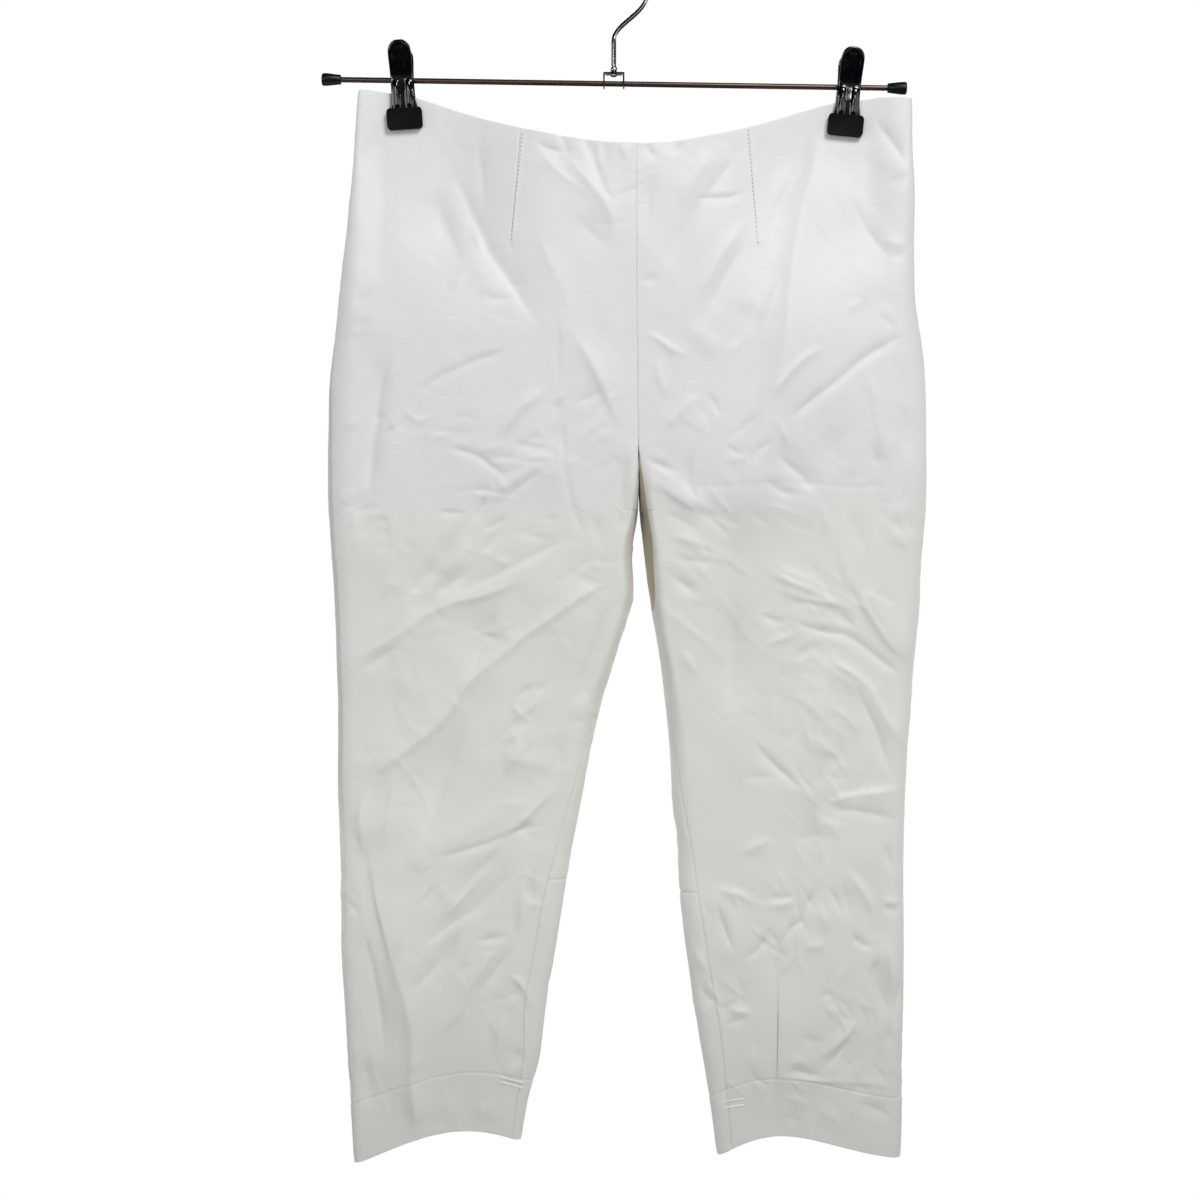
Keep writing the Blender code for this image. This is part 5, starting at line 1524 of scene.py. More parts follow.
# ---- finishes ------------------------------------------------------------------------------------
class Graph:
    """A shader tree, with a short method for each kind of node that the finishes use."""

    def __init__(self, tree: NodeTree) -> None:
        """Work on a tree."""
        self.tree = tree

    def add(self, kind: str, inputs: dict | None = None, **settings: object) -> Node:
        """Add a node.

        Args:
            kind: The node's type, without its first word.
            inputs: Values or sockets for its inputs, by name or number.
            **settings: Its other settings.

        Returns:
            The node.
        """
        node = self.tree.nodes.new(f"ShaderNode{kind}")
        for key, value in settings.items():
            setattr(node, key, value)
        for key, value in (inputs or {}).items():
            if isinstance(value, NodeSocket):
                self.tree.links.new(value, node.inputs[key])
            else:
                node.inputs[key].default_value = value
        return node

    def feed(self, node: Node, sockets: dict[str, NodeSocket]) -> None:
        """Link sockets to a node's inputs."""
        for label, socket in sockets.items():
            self.tree.links.new(socket, node.inputs[label])

    def place(self) -> NodeSocket:
        """The place on the object."""
        return self.add("TexCoord").outputs["Object"]

    def attribute(self, name: str) -> NodeSocket:
        """A number that the mesh holds at each point."""
        return self.add("Attribute", attribute_name=name).outputs["Fac"]

    def group(self, group: NodeTree, *values: Value) -> Sockets:
        """The outputs of a shader group that takes the values in its order."""
        return self.add("Group", dict(enumerate(values)), node_tree=group).outputs

    def math(self, operation: str, *values: Value, **settings: object) -> NodeSocket:
        """A result of arithmetic."""
        return self.add("Math", dict(enumerate(values)), operation=operation, **settings).outputs[0]

    def vector(self, operation: str, *values: Value) -> NodeSocket:
        """A result of arithmetic on vectors."""
        return self.add("VectorMath", dict(enumerate(values)), operation=operation).outputs[0]

    def noise(self, place: Value, scale: Value, detail: float, roughness: float = 0.5) -> NodeSocket:
        """Fractal noise around a half."""
        inputs = {"Vector": place, "Scale": scale, "Detail": detail, "Roughness": roughness}
        return self.add("TexNoise", inputs).outputs["Fac"]

    def ramp(self, value: Value, low: float, high: float, start: Value = 0.0, end: Value = 1.0,
             **settings: object) -> NodeSocket:
        """From start to end, as a value goes from low to high."""
        return self.add("MapRange", {0: value, 1: low, 2: high, 3: start, 4: end}, **settings).outputs[0]

    def blend(self, share: Value, first: Value, second: Value) -> NodeSocket:
        """A colour between two, each a socket or its red, green and blue.

        Args:
            share: How much of the second colour there is.
            first: The colour at 0.
            second: The colour at 1.

        Returns:
            The mixed colour's socket.
        """
        inputs = {0: share}
        for key, colour in ((6, first), (7, second)):
            inputs[key] = colour if isinstance(colour, NodeSocket) else (*colour, 1.0)
        return self.add("Mix", inputs, data_type="RGBA").outputs[2]

    def bump(self, height: Value, strength: float, distance: float, **normal: Value) -> NodeSocket:
        """A normal that a height tilts, from the surface's own or the one given as Normal."""
        inputs = {"Strength": strength, "Distance": distance, "Height": height, **normal}
        return self.add("Bump", inputs).outputs[0]

    def background(self, colour: Colour, strength: Value) -> NodeSocket:
        """Even light from all round."""
        return self.add("Background", {"Color": (*colour, 1.0), "Strength": strength}).outputs[0]


def new_group(name: str, numbers: dict[str, float], outputs: tuple[str, ...]
              ) -> tuple[Graph, Sockets, Node]:
    """A shader group that takes a vector and numbers and gives numbers.

    Args:
        name: The group's name.
        numbers: First value of each number it takes.
        outputs: Names of the numbers it gives.

    Returns:
        The group's graph, the sockets with what it takes, and the node for what it gives.
    """
    tree = bpy.data.node_groups.new(name, "ShaderNodeTree")
    tree.interface.new_socket(name="Vector", in_out="INPUT", socket_type="NodeSocketVector")
    for label, value in numbers.items():
        socket = tree.interface.new_socket(name=label, in_out="INPUT", socket_type="NodeSocketFloat")
        socket.default_value = value
    for label in outputs:
        tree.interface.new_socket(name=label, in_out="OUTPUT", socket_type="NodeSocketFloat")
    start, end = tree.nodes.new("NodeGroupInput"), tree.nodes.new("NodeGroupOutput")
    return Graph(tree), start.outputs, end


def new_material(name: str, sockets: dict[str, object]) -> tuple[Material, Node, Graph]:
    """A material, its Principled shader with the plain values set, and its graph.

    Args:
        name: The material's name.
        sockets: Plain values of the shader's sockets, by name.

    Returns:
        The material, the shader and the graph.
    """
    material = bpy.data.materials.new(name)
    material.use_nodes = True
    shader = material.node_tree.nodes["Principled BSDF"]
    for key, value in sockets.items():
        shader.inputs[key].default_value = value
    return material, shader, Graph(material.node_tree)


class Patterns:
    """The shader groups that the finishes share."""

    def __init__(self) -> None:
        """Build each group once."""
        self.weave = self.build_weave()
        self.mottle = self.build_mottle()
        self.wear = self.build_wear()
        self.streaks = self.build_streaks()

    @staticmethod
    def build_streaks() -> NodeTree:
        """Fine uneven lines across the cloth, from 0 to 1 around a half.

        Returns:
            The group.
        """
        graph, start, end = new_group("streaks", {"Scale": 600.0}, ("Value",))
        drawn = graph.vector("MULTIPLY", start[0], (0.13, 1.0, 1.0))
        graph.feed(end, {"Value": graph.noise(drawn, start[1], 3.0, 0.6)})
        return graph.tree

    @staticmethod
    def build_weave() -> NodeTree:
        """A sateen's long floats: fine lines down the cloth, broken by the crossing threads.

        Returns:
            The group.
        """
        graph, start, end = new_group("sateen_weave", {"Threads per metre": 2400.0}, ("Height",))
        uneven = graph.add("TexNoise", {"Vector": start[0], "Scale": 260.0, "Detail": 2.0}).outputs["Color"]
        push = graph.vector("MULTIPLY", uneven, (0.0006, 0.0006, 0.0))
        parts = graph.add("SeparateXYZ", {0: graph.vector("ADD", start[0], push)}).outputs
        waves = []
        for axis, share in ((0, 1.0), (1, 0.5)):
            rate = graph.math("MULTIPLY", start[1], share * 2 * math.pi)
            waves.append(graph.math("SINE", graph.math("MULTIPLY", parts[axis], rate)))
        graph.feed(end, {"Height": graph.math("MULTIPLY_ADD", waves[1], 0.35, waves[0])})
        return graph.tree

    @staticmethod
    def build_mottle() -> NodeTree:
        """Uneven tone at two sizes, from 0 to 1 around a half.

        Returns:
            The group.
        """
        graph, start, end = new_group("mottle", {"Scale": 10.0, "Fine share": 0.35}, ("Value",))
        broad = graph.noise(start[0], start[1], 4.0)
        fine = graph.noise(start[0], graph.math("MULTIPLY", start[1], 14.0), 3.0)
        graph.feed(end, {"Value": graph.add("Mix", {0: start[2], 2: broad, 3: fine}).outputs[0]})
        return graph.tree

    @staticmethod
    def build_wear() -> NodeTree:
        """Rubbed spots and hair scratches, as a mask and as a height.

        Returns:
            The group.
        """
        graph, start, end = new_group("wear", {"Amount": 0.3, "Scale": 400.0}, ("Mask", "Height"))
        lines = graph.noise(graph.vector("MULTIPLY", start[0], (1.0, 1.0, 0.12)), start[2], 5.0)
        spots = graph.noise(start[0], start[2], 3.0, 0.7)
        limit = graph.math("SUBTRACT", 0.42, start[1])
        above = graph.math("SUBTRACT", graph.math("MULTIPLY", lines, spots), limit)
        graph.feed(end, {"Mask": graph.math("MULTIPLY", above, 6.0, use_clamp=True), "Height": lines})
        return graph.tree


@dataclass(frozen=True)
class SateenFinish:
    """White cotton sateen: matt, with a faint sheen, fine lines of floats, a little unevenness, and the
    painted warm bounce light and painted shade that the mesh's attributes place.
    """

    name: str = "white_sateen"
    light: Colour = (0.85, 0.852, 0.845)
    dark: Colour = (0.80, 0.805, 0.80)
    # painted warm bounce light, beside the inner leg and toward the hems
    cream: Colour = (0.815, 0.822, 0.772)
    # painted shade: toward the hems, along the hem's stitch line and in the left side strip
    dull: Colour = (0.663, 0.667, 0.632)
    # painted shade: the tan of the strip beside the fly of the right leg
    shaded: Colour = (0.50, 0.44, 0.30)
    tone_scale: float = 9.0
    streak_scale: float = 650.0
    streak_share: float = 0.9
    tone_range: Point = (0.65, 1.25)
    rough_range: Point = (0.4, 0.52)
    shade_blend: float = 0.15
    threads_per_metre: float = 1700.0
    weave_height: float = 0.00004
    nap_scale: float = 240.0
    nap_height: float = 0.00025

    def build(self, patterns: Patterns) -> Material:
        """Make the material.

        Args:
            patterns: The shared shader groups.

        Returns:
            The dressed material.
        """
        material, shader, graph = new_material(self.name, {
            "Roughness": 0.5, "IOR": 1.45, "Specular IOR Level": 0.5,
            "Sheen Weight": 0.25, "Sheen Roughness": 0.45, "Sheen Tint": (1.0, 0.99, 0.97, 1.0),
        })
        cloth = graph.add("UVMap", uv_map="cloth").outputs[0]
        tone = graph.group(patterns.mottle, graph.place(), self.tone_scale, 0.3)[0]
        streaks = graph.group(patterns.streaks, cloth, self.streak_scale)[0]
        uneven = graph.math("MULTIPLY_ADD", streaks, self.streak_share, tone)
        colour = graph.blend(graph.ramp(uneven, *self.tone_range), self.dark, self.light)
        # painted warm bounce light beside the inner leg and toward the hems
        colour = graph.blend(graph.attribute("cream"), colour, self.cream)
        # painted shade toward the hems, along the hem's stitching and in the left side strip
        colour = graph.blend(graph.attribute("grey"), colour, self.dull)
        # painted shade strip beside the fly of the right leg, read from the tan attribute
        within = graph.ramp(graph.attribute("tan"), -self.shade_blend, self.shade_blend)
        colour = graph.blend(within, colour, self.shaded)
        weave = graph.group(patterns.weave, cloth, self.threads_per_metre)[0]
        nap = graph.group(patterns.mottle, cloth, self.nap_scale, 0.5)[0]
        fine = graph.bump(weave, 0.5, self.weave_height)
        graph.feed(shader, {
            "Base Color": colour,
            "Roughness": graph.ramp(tone, *TONE_RANGE, *self.rough_range),
            "Normal": graph.bump(nap, 0.5, self.nap_height, Normal=fine),
        })
        return material


@dataclass(frozen=True)
class MetalFinish:
    """A plated or painted metal with rubbed spots."""

    name: str
    base: Colour
    worn: Colour
    rough: float
    worn_rough: float
    wear: float = 0.12
    scale: float = 420.0
    smear_scale: float = 90.0
    bump: float = 0.00003
    metallic: float = 1.0
    ior: float = 1.5

    def build(self, patterns: Patterns) -> Material:
        """Make the material.

        Args:
            patterns: The shared shader groups.

        Returns:
            The dressed material.
        """
        material, shader, graph = new_material(self.name, {"Metallic": self.metallic, "IOR": self.ior})
        place = graph.place()
        wear = graph.group(patterns.wear, place, self.wear, self.scale)
        smear = graph.group(patterns.mottle, place, self.smear_scale, 0.4)[0]
        graph.feed(shader, {
            "Base Color": graph.blend(wear["Mask"], self.base, self.worn),
            "Roughness": graph.ramp(smear, *TONE_RANGE, self.rough, self.worn_rough),
            "Normal": graph.bump(wear["Height"], 0.25, self.bump),
        })
        return material


@dataclass(frozen=True)
class PolymerFinish:
    """Moulded plastic or rubber with a fine grain."""

    name: str
    base: Colour
    dusty: Colour
    rough: float
    worn_rough: float
    specular: float = 0.15
    dust_scale: float = 110.0
    dust_range: Point = (0.45, 0.8)
    grain: float = 0.00006
    grain_scale: float = 2600.0

    def build(self, patterns: Patterns) -> Material:
        """Make the material.

        Args:
            patterns: The shared shader groups.

        Returns:
            The dressed material.
        """
        material, shader, graph = new_material(self.name, {"Specular IOR Level": self.specular})
        place = graph.place()
        dust = graph.group(patterns.mottle, place, self.dust_scale, 0.5)[0]
        grain = graph.noise(place, self.grain_scale, 2.0)
        graph.feed(shader, {
            "Base Color": graph.blend(graph.ramp(dust, *self.dust_range), self.base, self.dusty),
            "Roughness": graph.ramp(dust, *TONE_RANGE, self.rough, self.worn_rough),
            "Normal": graph.bump(grain, 0.6, self.grain),
        })
        return material


@dataclass(frozen=True)
class ThreadFinish:
    """Spun polyester thread, mottled."""

    name: str = "thread"
    base: Colour = (0.52, 0.50, 0.47)
    dimmed: float = 0.8
    scale: float = 300.0

    def build(self, patterns: Patterns) -> Material:
        """Make the material.

        Args:
            patterns: The shared shader groups.

        Returns:
            The dressed material.
        """
        material, shader, graph = new_material(self.name, {"Roughness": 0.5, "Sheen Weight": 0.2})
        tone = graph.group(patterns.mottle, graph.place(), self.scale, 0.5)[0]
        dim = tuple(self.dimmed * part for part in self.base)
        graph.feed(shader, {"Base Color": graph.blend(tone, dim, self.base)})
        return material


# ---- sewing --------------------------------------------------------------------------------------
@dataclass
class Stitching:
    """Rows of short stitches that lie on a panel."""

    length: float = 1.8
    pitch: float = 3.1
    radius: float = 0.38
    sides: int = 6
    # Place along a stitch in its lengths, size in its radii, and height in millimetres.
    RINGS = (
        (-0.5, 0.35, -0.22), (-0.36, 0.9, 0.02), (0.0, 1.0, 0.1), (0.36, 0.9, 0.02), (0.5, 0.35, -0.22),
    )

    def capsule(self, middle: Vector, along: Vector, out: Vector) -> tuple[list[Vector], list[list[int]]]:
        """Points and faces of one stitch, whose ends dive into the cloth.

        Args:
            middle: The stitch's middle.
            along: The way it runs.
            out: The way out of the cloth.

        Returns:
            The points, and for each face the numbers of its points.
        """
        across = along.cross(out).normalized()
        points, faces = [], []
        for at, size, rise in self.RINGS:
            centre = middle + along * at * self.length + out * rise
            for i in range(self.sides):
                angle = 2 * math.pi * i / self.sides
                way = across * math.cos(angle) + out * math.sin(angle)
                points.append(centre + way * self.radius * size)
        for ring in range(len(self.RINGS) - 1):
            for i in range(self.sides):
                here, there = ring * self.sides + i, ring * self.sides + (i + 1) % self.sides
                faces.append([here, there, there + self.sides, here + self.sides])
        last = (len(self.RINGS) - 1) * self.sides
        faces.append(list(range(self.sides))[::-1])
        faces.append([last + i for i in range(self.sides)])
        return points, faces

    def rows(self, name: str, routes: list[tuple[ClothPanel, tuple[Point, ...]]]) -> Object:
        """One object that holds the stitches of several lines.

        Args:
            name: The object's name.
            routes: The panel that each line lies on, and the line.

        Returns:
            The object.
        """
        points: list[Vector] = []
        faces: list[list[int]] = []
        for panel, line in routes:
            given = np.array(line)
            gaps = np.concatenate([[0.0], np.cumsum(np.linalg.norm(np.diff(given, axis=0), axis=1))])
            for at in np.arange(self.pitch / 2, gaps[-1], self.pitch):
                spots = [[np.interp(at + off, gaps, given[:, i]) for i in range(2)] for off in (-0.5, 0.5)]
                (start, out), (end, _) = (panel.surface_at(*spot) for spot in spots)
                along = (end - start).normalized()
                out = (out - along * out.dot(along)).normalized()
                more, shapes = self.capsule((start + end) / 2, along, out)
                faces += [[len(points) + i for i in shape] for shape in shapes]
                points += more
        mesh = bpy.data.meshes.new(name)
        mesh.from_pydata([tuple(point * MM) for point in points], [], faces)
        item = bpy.data.objects.new(name, mesh)
        bpy.context.scene.collection.objects.link(item)
        bm = bmesh.new()
        bm.from_mesh(mesh)
        bmesh.ops.recalc_face_normals(bm, faces=bm.faces)
        bm.to_mesh(mesh)
        bm.free()
        mesh.shade_smooth()
        return item


# ---- modelling by hand ---------------------------------------------------------------------------
# A direction's share along an axis: above FACING it points along the axis, under SQUARE across it.
FACING, SQUARE = 0.9, 0.1
NEAR = 0.1  # millimetres within which a point counts as on a level


def clear_selection() -> None:
    """Leave edit mode and deselect everything."""
    if bpy.context.object and bpy.context.object.mode != "OBJECT":
        bpy.ops.object.mode_set(mode="OBJECT")
    bpy.ops.object.select_all(action="DESELECT")


@dataclass
class Workpiece:
    """A piece that is shaped in edit mode. Lengths are in millimetres, at their final place."""

    item: Object

    @classmethod
    def start(cls, name: str, kind: str, centre: tuple, turn: tuple = (0, 0, 0), scale: tuple = (1, 1, 1),
              **sizes: object) -> "Workpiece":
        """Add a primitive and apply its place.

        Args:
            name: The object's name.
            kind: Which primitive, such as "cylinder".
            centre: Its place.
            turn: Its rotation.
            scale: Its scale.
            **sizes: The operator's own values, in metres.

        Returns:
            The workpiece, in edit mode with nothing selected.
        """
        clear_selection()
        add = getattr(bpy.ops.mesh, f"primitive_{kind}_add")
        add(location=Vector(centre) * MM, rotation=turn, **sizes)
        item = bpy.context.object
        item.name = item.data.name = name
        item.scale = scale
        bpy.ops.object.transform_apply(location=True, rotation=True, scale=True)
        piece = cls(item)
        piece.edit()
        return piece

    def edit(self) -> None:
        """Open the piece in edit mode with nothing selected."""
        bpy.context.view_layer.objects.active = self.item
        self.item.select_set(True)
        bpy.ops.object.mode_set(mode="EDIT")
        bpy.ops.mesh.select_all(action="DESELECT")

    def pick(self, kind: str, test: Callable[[Vector, Vector], bool]) -> None:
        """Select elements by their middle, in millimetres, and their normal.

        Args:
            kind: "VERT", "EDGE" or "FACE".
            test: Says whether an element is wanted.
        """
        bpy.ops.mesh.select_mode(type=kind)
        bpy.ops.mesh.select_all(action="DESELECT")
        bm = bmesh.from_edit_mesh(self.item.data)
        for element in {"VERT": bm.verts, "EDGE": bm.edges, "FACE": bm.faces}[kind]:
            if kind == "VERT":
                middle, normal = element.co, element.normal
            elif kind == "EDGE":
                ends = [vert.co for vert in element.verts]
                middle, normal = (ends[0] + ends[1]) / 2, (ends[1] - ends[0]).normalized()
            else:
                middle, normal = element.calc_center_median(), element.normal
            if test(middle / MM, normal):
                element.select_set(True)
        bm.select_flush_mode()
        bmesh.update_edit_mesh(self.item.data)

    def move(self, offset: tuple) -> None:
        """Move what is selected."""
        bpy.ops.transform.translate(value=Vector(offset) * MM)

    def size(self, factors: tuple, centre: tuple) -> None:
        """Scale what is selected about a place."""
        bpy.ops.transform.resize(value=factors, center_override=Vector(centre) * MM)

    def turn(self, angle: float, axis: str, centre: tuple) -> None:
        """Turn what is selected about an axis through a place; the operator's own sense is reversed."""
        bpy.ops.transform.rotate(value=-angle, orient_axis=axis, center_override=Vector(centre) * MM)

    def extrude(self, offset: tuple) -> None:
        """Extrude what is selected."""
        bpy.ops.mesh.extrude_region_move(TRANSFORM_OT_translate={"value": Vector(offset) * MM})

    def inset(self, thickness: float, depth: float = 0.0) -> None:
        """Inset the selected faces."""
        bpy.ops.mesh.inset(thickness=thickness * MM, depth=depth * MM)

    def bevel(self, width: float, segments: int = 2) -> None:
        """Round the selected edges."""
        bpy.ops.mesh.bevel(offset=width * MM, segments=segments, affect="EDGES", profile=0.5)

    def modify(self, kind: str, **settings: object) -> None:
        """Add a modifier and apply it.

        Args:
            kind: The modifier's type.
            **settings: Its settings.
        """
        clear_selection()
        self.item.select_set(True)
        bpy.context.view_layer.objects.active = self.item
        modifier = self.item.modifiers.new(kind.title(), kind)
        for key, value in settings.items():
            setattr(modifier, key, value)
        bpy.ops.object.modifier_apply(modifier=modifier.name)

    def smooth(self, degrees: float = 40.0) -> None:
        """Merge doubles, face the normals outward and shade smooth up to an angle.

        Args:
            degrees: The angle above which an edge stays sharp.
        """
        clear_selection()
        self.edit()
        bpy.ops.mesh.select_all(action="SELECT")
        bpy.ops.mesh.remove_doubles(threshold=0.000005)
        bpy.ops.mesh.normals_make_consistent(inside=False)
        clear_selection()
        self.item.select_set(True)
        bpy.context.view_layer.objects.active = self.item
        bpy.ops.object.shade_smooth_by_angle(angle=math.radians(degrees))

    def copy(self, name: str, place: Matrix) -> "Workpiece":
        """A copy with its own mesh, moved by a matrix whose lengths are in metres.

        Args:
            name: The copy's name.
            place: The matrix.

        Returns:
            The copy.
        """
        mesh = self.item.data.copy()
        mesh.transform(place)
        mesh.name = name
        item = bpy.data.objects.new(name, mesh)
        bpy.context.scene.collection.objects.link(item)
        return Workpiece(item)


def dress(item: Object, material: Material, slot: Slot, *nodes: str) -> None:
    """Give a piece its material and body, and hide the nodes that it stands for.

    Args:
        item: The piece.
        material: Its finish.
        slot: Its material slot; not used.
        *nodes: The nodes it stands for, or none for an added piece.
    """
    item.data.materials.clear()
    item.data.materials.append(material)
    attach(item, "root")
    if nodes:
        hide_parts(*nodes)
    LOG.info("%s: %d faces", item.name, len(item.data.polygons))


# ---- hanger --------------------------------------------------------------------------------------
@dataclass
class Rod:
    """The straight steel rod and the plastic cap over each of its ends."""

    radius: float = ROD_RADIUS
    length: float = ROD_LENGTH
    cap_length: float = 14.6
    cap_inner: float = 3.6
    cap_outer: float = 4.8
    cap_end: float = 1.8
    rim: float = 4.0
    gap: float = 0.3  # between the cap and the rod
    rod_rounding: float = 0.5
    cap_rounding: float = 1.2
    mouth_rounding: float = 0.25

    def build(self, steel: Material, plastic: Material) -> None:
        """Model and dress the rod and its caps.

        Args:
            steel: The rod's finish.
            plastic: The caps' finish.
        """
        turn = (0.0, math.pi / 2 + ROD_TILT, 0.0)
        piece = Workpiece.start("hanger_rod", "cylinder", ROD_CENTRE, turn, vertices=32,
                                radius=self.radius * MM, depth=self.length * MM)
        reach = self.length / 2 - 1
        piece.pick("EDGE", lambda at, along: abs(at.x - ROD_CENTRE[0]) > reach and abs(along.x) < 0.5)
        piece.bevel(self.rod_rounding, 3)
        piece.smooth()
        dress(piece.item, steel, Slot.ROD, "rod")
        for side in Side:
            self.build_cap(side, plastic)

    def build_cap(self, side: Side, plastic: Material) -> None:
        """Model one cap: a closed, rounded end that tapers to its mouth.

        Args:
            side: Which end of the rod.
            plastic: The cap's finish.
        """
        out = side.outward
        end = self.length / 2 + self.cap_end + self.gap
        piece = Workpiece.start(f"cap_{side.value}", "cylinder", (0, 0, -self.rim / 2), vertices=32,
                                radius=self.cap_outer * MM, depth=self.rim * MM)
        piece.pick("FACE", lambda at, normal: normal.z < -FACING)
        mouth = self.rim - self.cap_length
        piece.extrude((0, 0, mouth))
        factor = self.cap_inner / self.cap_outer
        piece.size((factor, factor, 1), (0, 0, -self.cap_length))
        piece.inset(self.cap_inner - self.radius - self.gap)
        piece.extrude((0, 0, self.cap_length - self.cap_end))
        rim = self.cap_outer * 0.9
        piece.pick("EDGE", lambda at, along: abs(along.z) < SQUARE and at.xy.length > rim and at.z > -1)
        piece.bevel(self.cap_rounding, 4)
        piece.pick("EDGE", lambda at, along: abs(along.z) < SQUARE and at.z < 0.5 - self.cap_length)
        piece.bevel(self.mouth_rounding, 2)
        piece.smooth(50)
        clear_selection()
        item = piece.item
        item.rotation_euler = (0.0, ROD_TILT + out * math.pi / 2, 0.0)
        x = ROD_CENTRE[0] + out * end * math.cos(ROD_TILT)
        item.location = Vector((x, 0.0, ROD_CENTRE[2] - out * end * math.sin(ROD_TILT))) * MM
        item.select_set(True)
        bpy.context.view_layer.objects.active = item
        bpy.ops.object.transform_apply(location=True, rotation=True, scale=True)
        dress(item, plastic, Slot.CAPS, f"rod_cap_{side.value}")


@dataclass
class Hook:
    """The wire hook with its swivel, and the sheet bracket that turns on it and carries the rod."""

    wire: float = 1.85
    arch_inside: float = 26.65
    arch_start: float = math.radians(-27.0)
    arch_end: float = math.radians(200.0)
    shank_x: float = 0.6
    shank_top: float = -70.5
    bend_rise: float = 11.0
    bend_pull: tuple[float, float, float] = (20.0, 0.0, -53.0)
    ball: float = 2.8
    neck: float = 1.4
    head: float = 2.6
    head_height: float = 1.6
    bracket_top: float = -95.9
    bracket_width: float = 16.4
    bracket_depth: float = 7.0
    sheet: float = 1.2
    corner: float = 2.4
    below_rod: float = 3.6
    clearance: float = 0.3
    sides: int = 20
    shank_steps: int = 7
    bend_steps: int = 24
    arch_steps: int = 60
    ball_cut: float = 0.8  # of the ball's radius, from its middle to its flat underside
    tip_rounding: float = 0.6
    neck_inset: float = 0.28
    strap_rounding: float = 1.6
    sheet_rounding: float = 0.18
    # Share of the rivet head's height, and how far it narrows there.
    HEAD_STEPS = ((0.3, 0.88), (0.25, 0.72))
    HEAD_RIM = 0.45

    @property
    def flat_z(self) -> float:
        """Height of the ball's flat underside."""
        return self.bracket_top + self.clearance

    @property
    def ball_z(self) -> float:
        """Height of the ball's middle."""
        return self.bracket_top + self.clearance + self.ball_cut * self.ball

    def route(self) -> list[Vector]:
        """Centre line of the wire: shank, double bend and arch.

        Returns:
            The line's points.
        """
        radius = self.wire + self.arch_inside
        centre = Vector((0.0, 0.0, -self.arch_inside))

        def on_arch(angle: float) -> Vector:
            """A point of the arch."""
            return centre + radius * Vector((math.cos(angle), 0.0, math.sin(angle)))

        heights = np.linspace(self.ball_z, self.shank_top, self.shank_steps)[:-1]
        shank = [Vector((self.shank_x, 0.0, z)) for z in heights]
        bend = interpolate_bezier(
            Vector((self.shank_x, 0.0, self.shank_top)),
            Vector((self.shank_x, 0.0, self.shank_top + self.bend_rise)),
            Vector(self.bend_pull), on_arch(self.arch_start), self.bend_steps,
        )
        step = (self.arch_end - self.arch_start) / self.arch_steps
        return shank + bend + [on_arch(self.arch_start + step * (i + 1)) for i in range(self.arch_steps)]

    def build_wire(self, chrome: Material) -> None:
        """Draw the wire: a disc that is extruded and turned along the route, ring by ring.

        Args:
            chrome: The finish of the wire.
        """
        route = self.route()
        piece = Workpiece.start("hook_wire", "circle", route[0], vertices=self.sides, radius=self.wire * MM,
                                fill_type="NGON")
        bpy.ops.mesh.select_all(action="SELECT")
        heading = 0.0
        for i in range(1, len(route)):
            arriving = route[i] - route[i - 1]
            leaving = route[i + 1] - route[i] if i + 1 < len(route) else arriving
            run = arriving.normalized() + leaving.normalized()
            new = math.atan2(run.x, run.z)
            piece.extrude(arriving)
            if abs(new - heading) > 1e-5:
                turned = new - heading
                if turned < -math.pi:
                    turned += 2 * math.pi
                piece.turn(turned, "Y", route[i])
            heading = new
        end, last = route[-1], (route[-1] - route[-2]).normalized()
        piece.pick("EDGE", lambda at, along: abs((at - end).length - self.wire) < NEAR
                   and abs(along.dot(last)) < SQUARE)
        piece.bevel(self.tip_rounding, 3)
        piece.smooth(50)
        dress(piece.item, chrome, Slot.HOOK, "hook")

    def build_swivel(self, chrome: Material) -> None:
        """Model the ball on the bracket, its neck through the sheet and the rivet head beneath.

        Args:
            chrome: The ball's finish.
        """
        flat = self.flat_z
        piece = Workpiece.start("swivel_ball", "uv_sphere", (self.shank_x, 0, self.ball_z), segments=32,
                                ring_count=20, radius=self.ball * MM)
        bpy.ops.mesh.select_all(action="SELECT")
        bpy.ops.mesh.bisect(plane_co=Vector((self.shank_x, 0, flat)) * MM, plane_no=(0, 0, -1),
                            use_fill=True, clear_outer=True)
        piece.pick("FACE", lambda at, normal: normal.z < -FACING and abs(at.z - flat) < 0.5 * NEAR)
        piece.inset(self.neck_inset)
        under = self.bracket_top - self.sheet - self.clearance
        piece.extrude((0, 0, under - flat))
        piece.extrude((0, 0, -0.01))
        wide = self.head / self.neck
        piece.size((wide, wide, 1), (self.shank_x, 0, under))
        piece.extrude((0, 0, -self.head_height * self.HEAD_RIM))
        for share, factor in self.HEAD_STEPS:
            piece.extrude((0, 0, -self.head_height * share))
            piece.size((factor, factor, 1), (self.shank_x, 0, under))
        piece.smooth(35)
        dress(piece.item, chrome, Slot.HOOK)

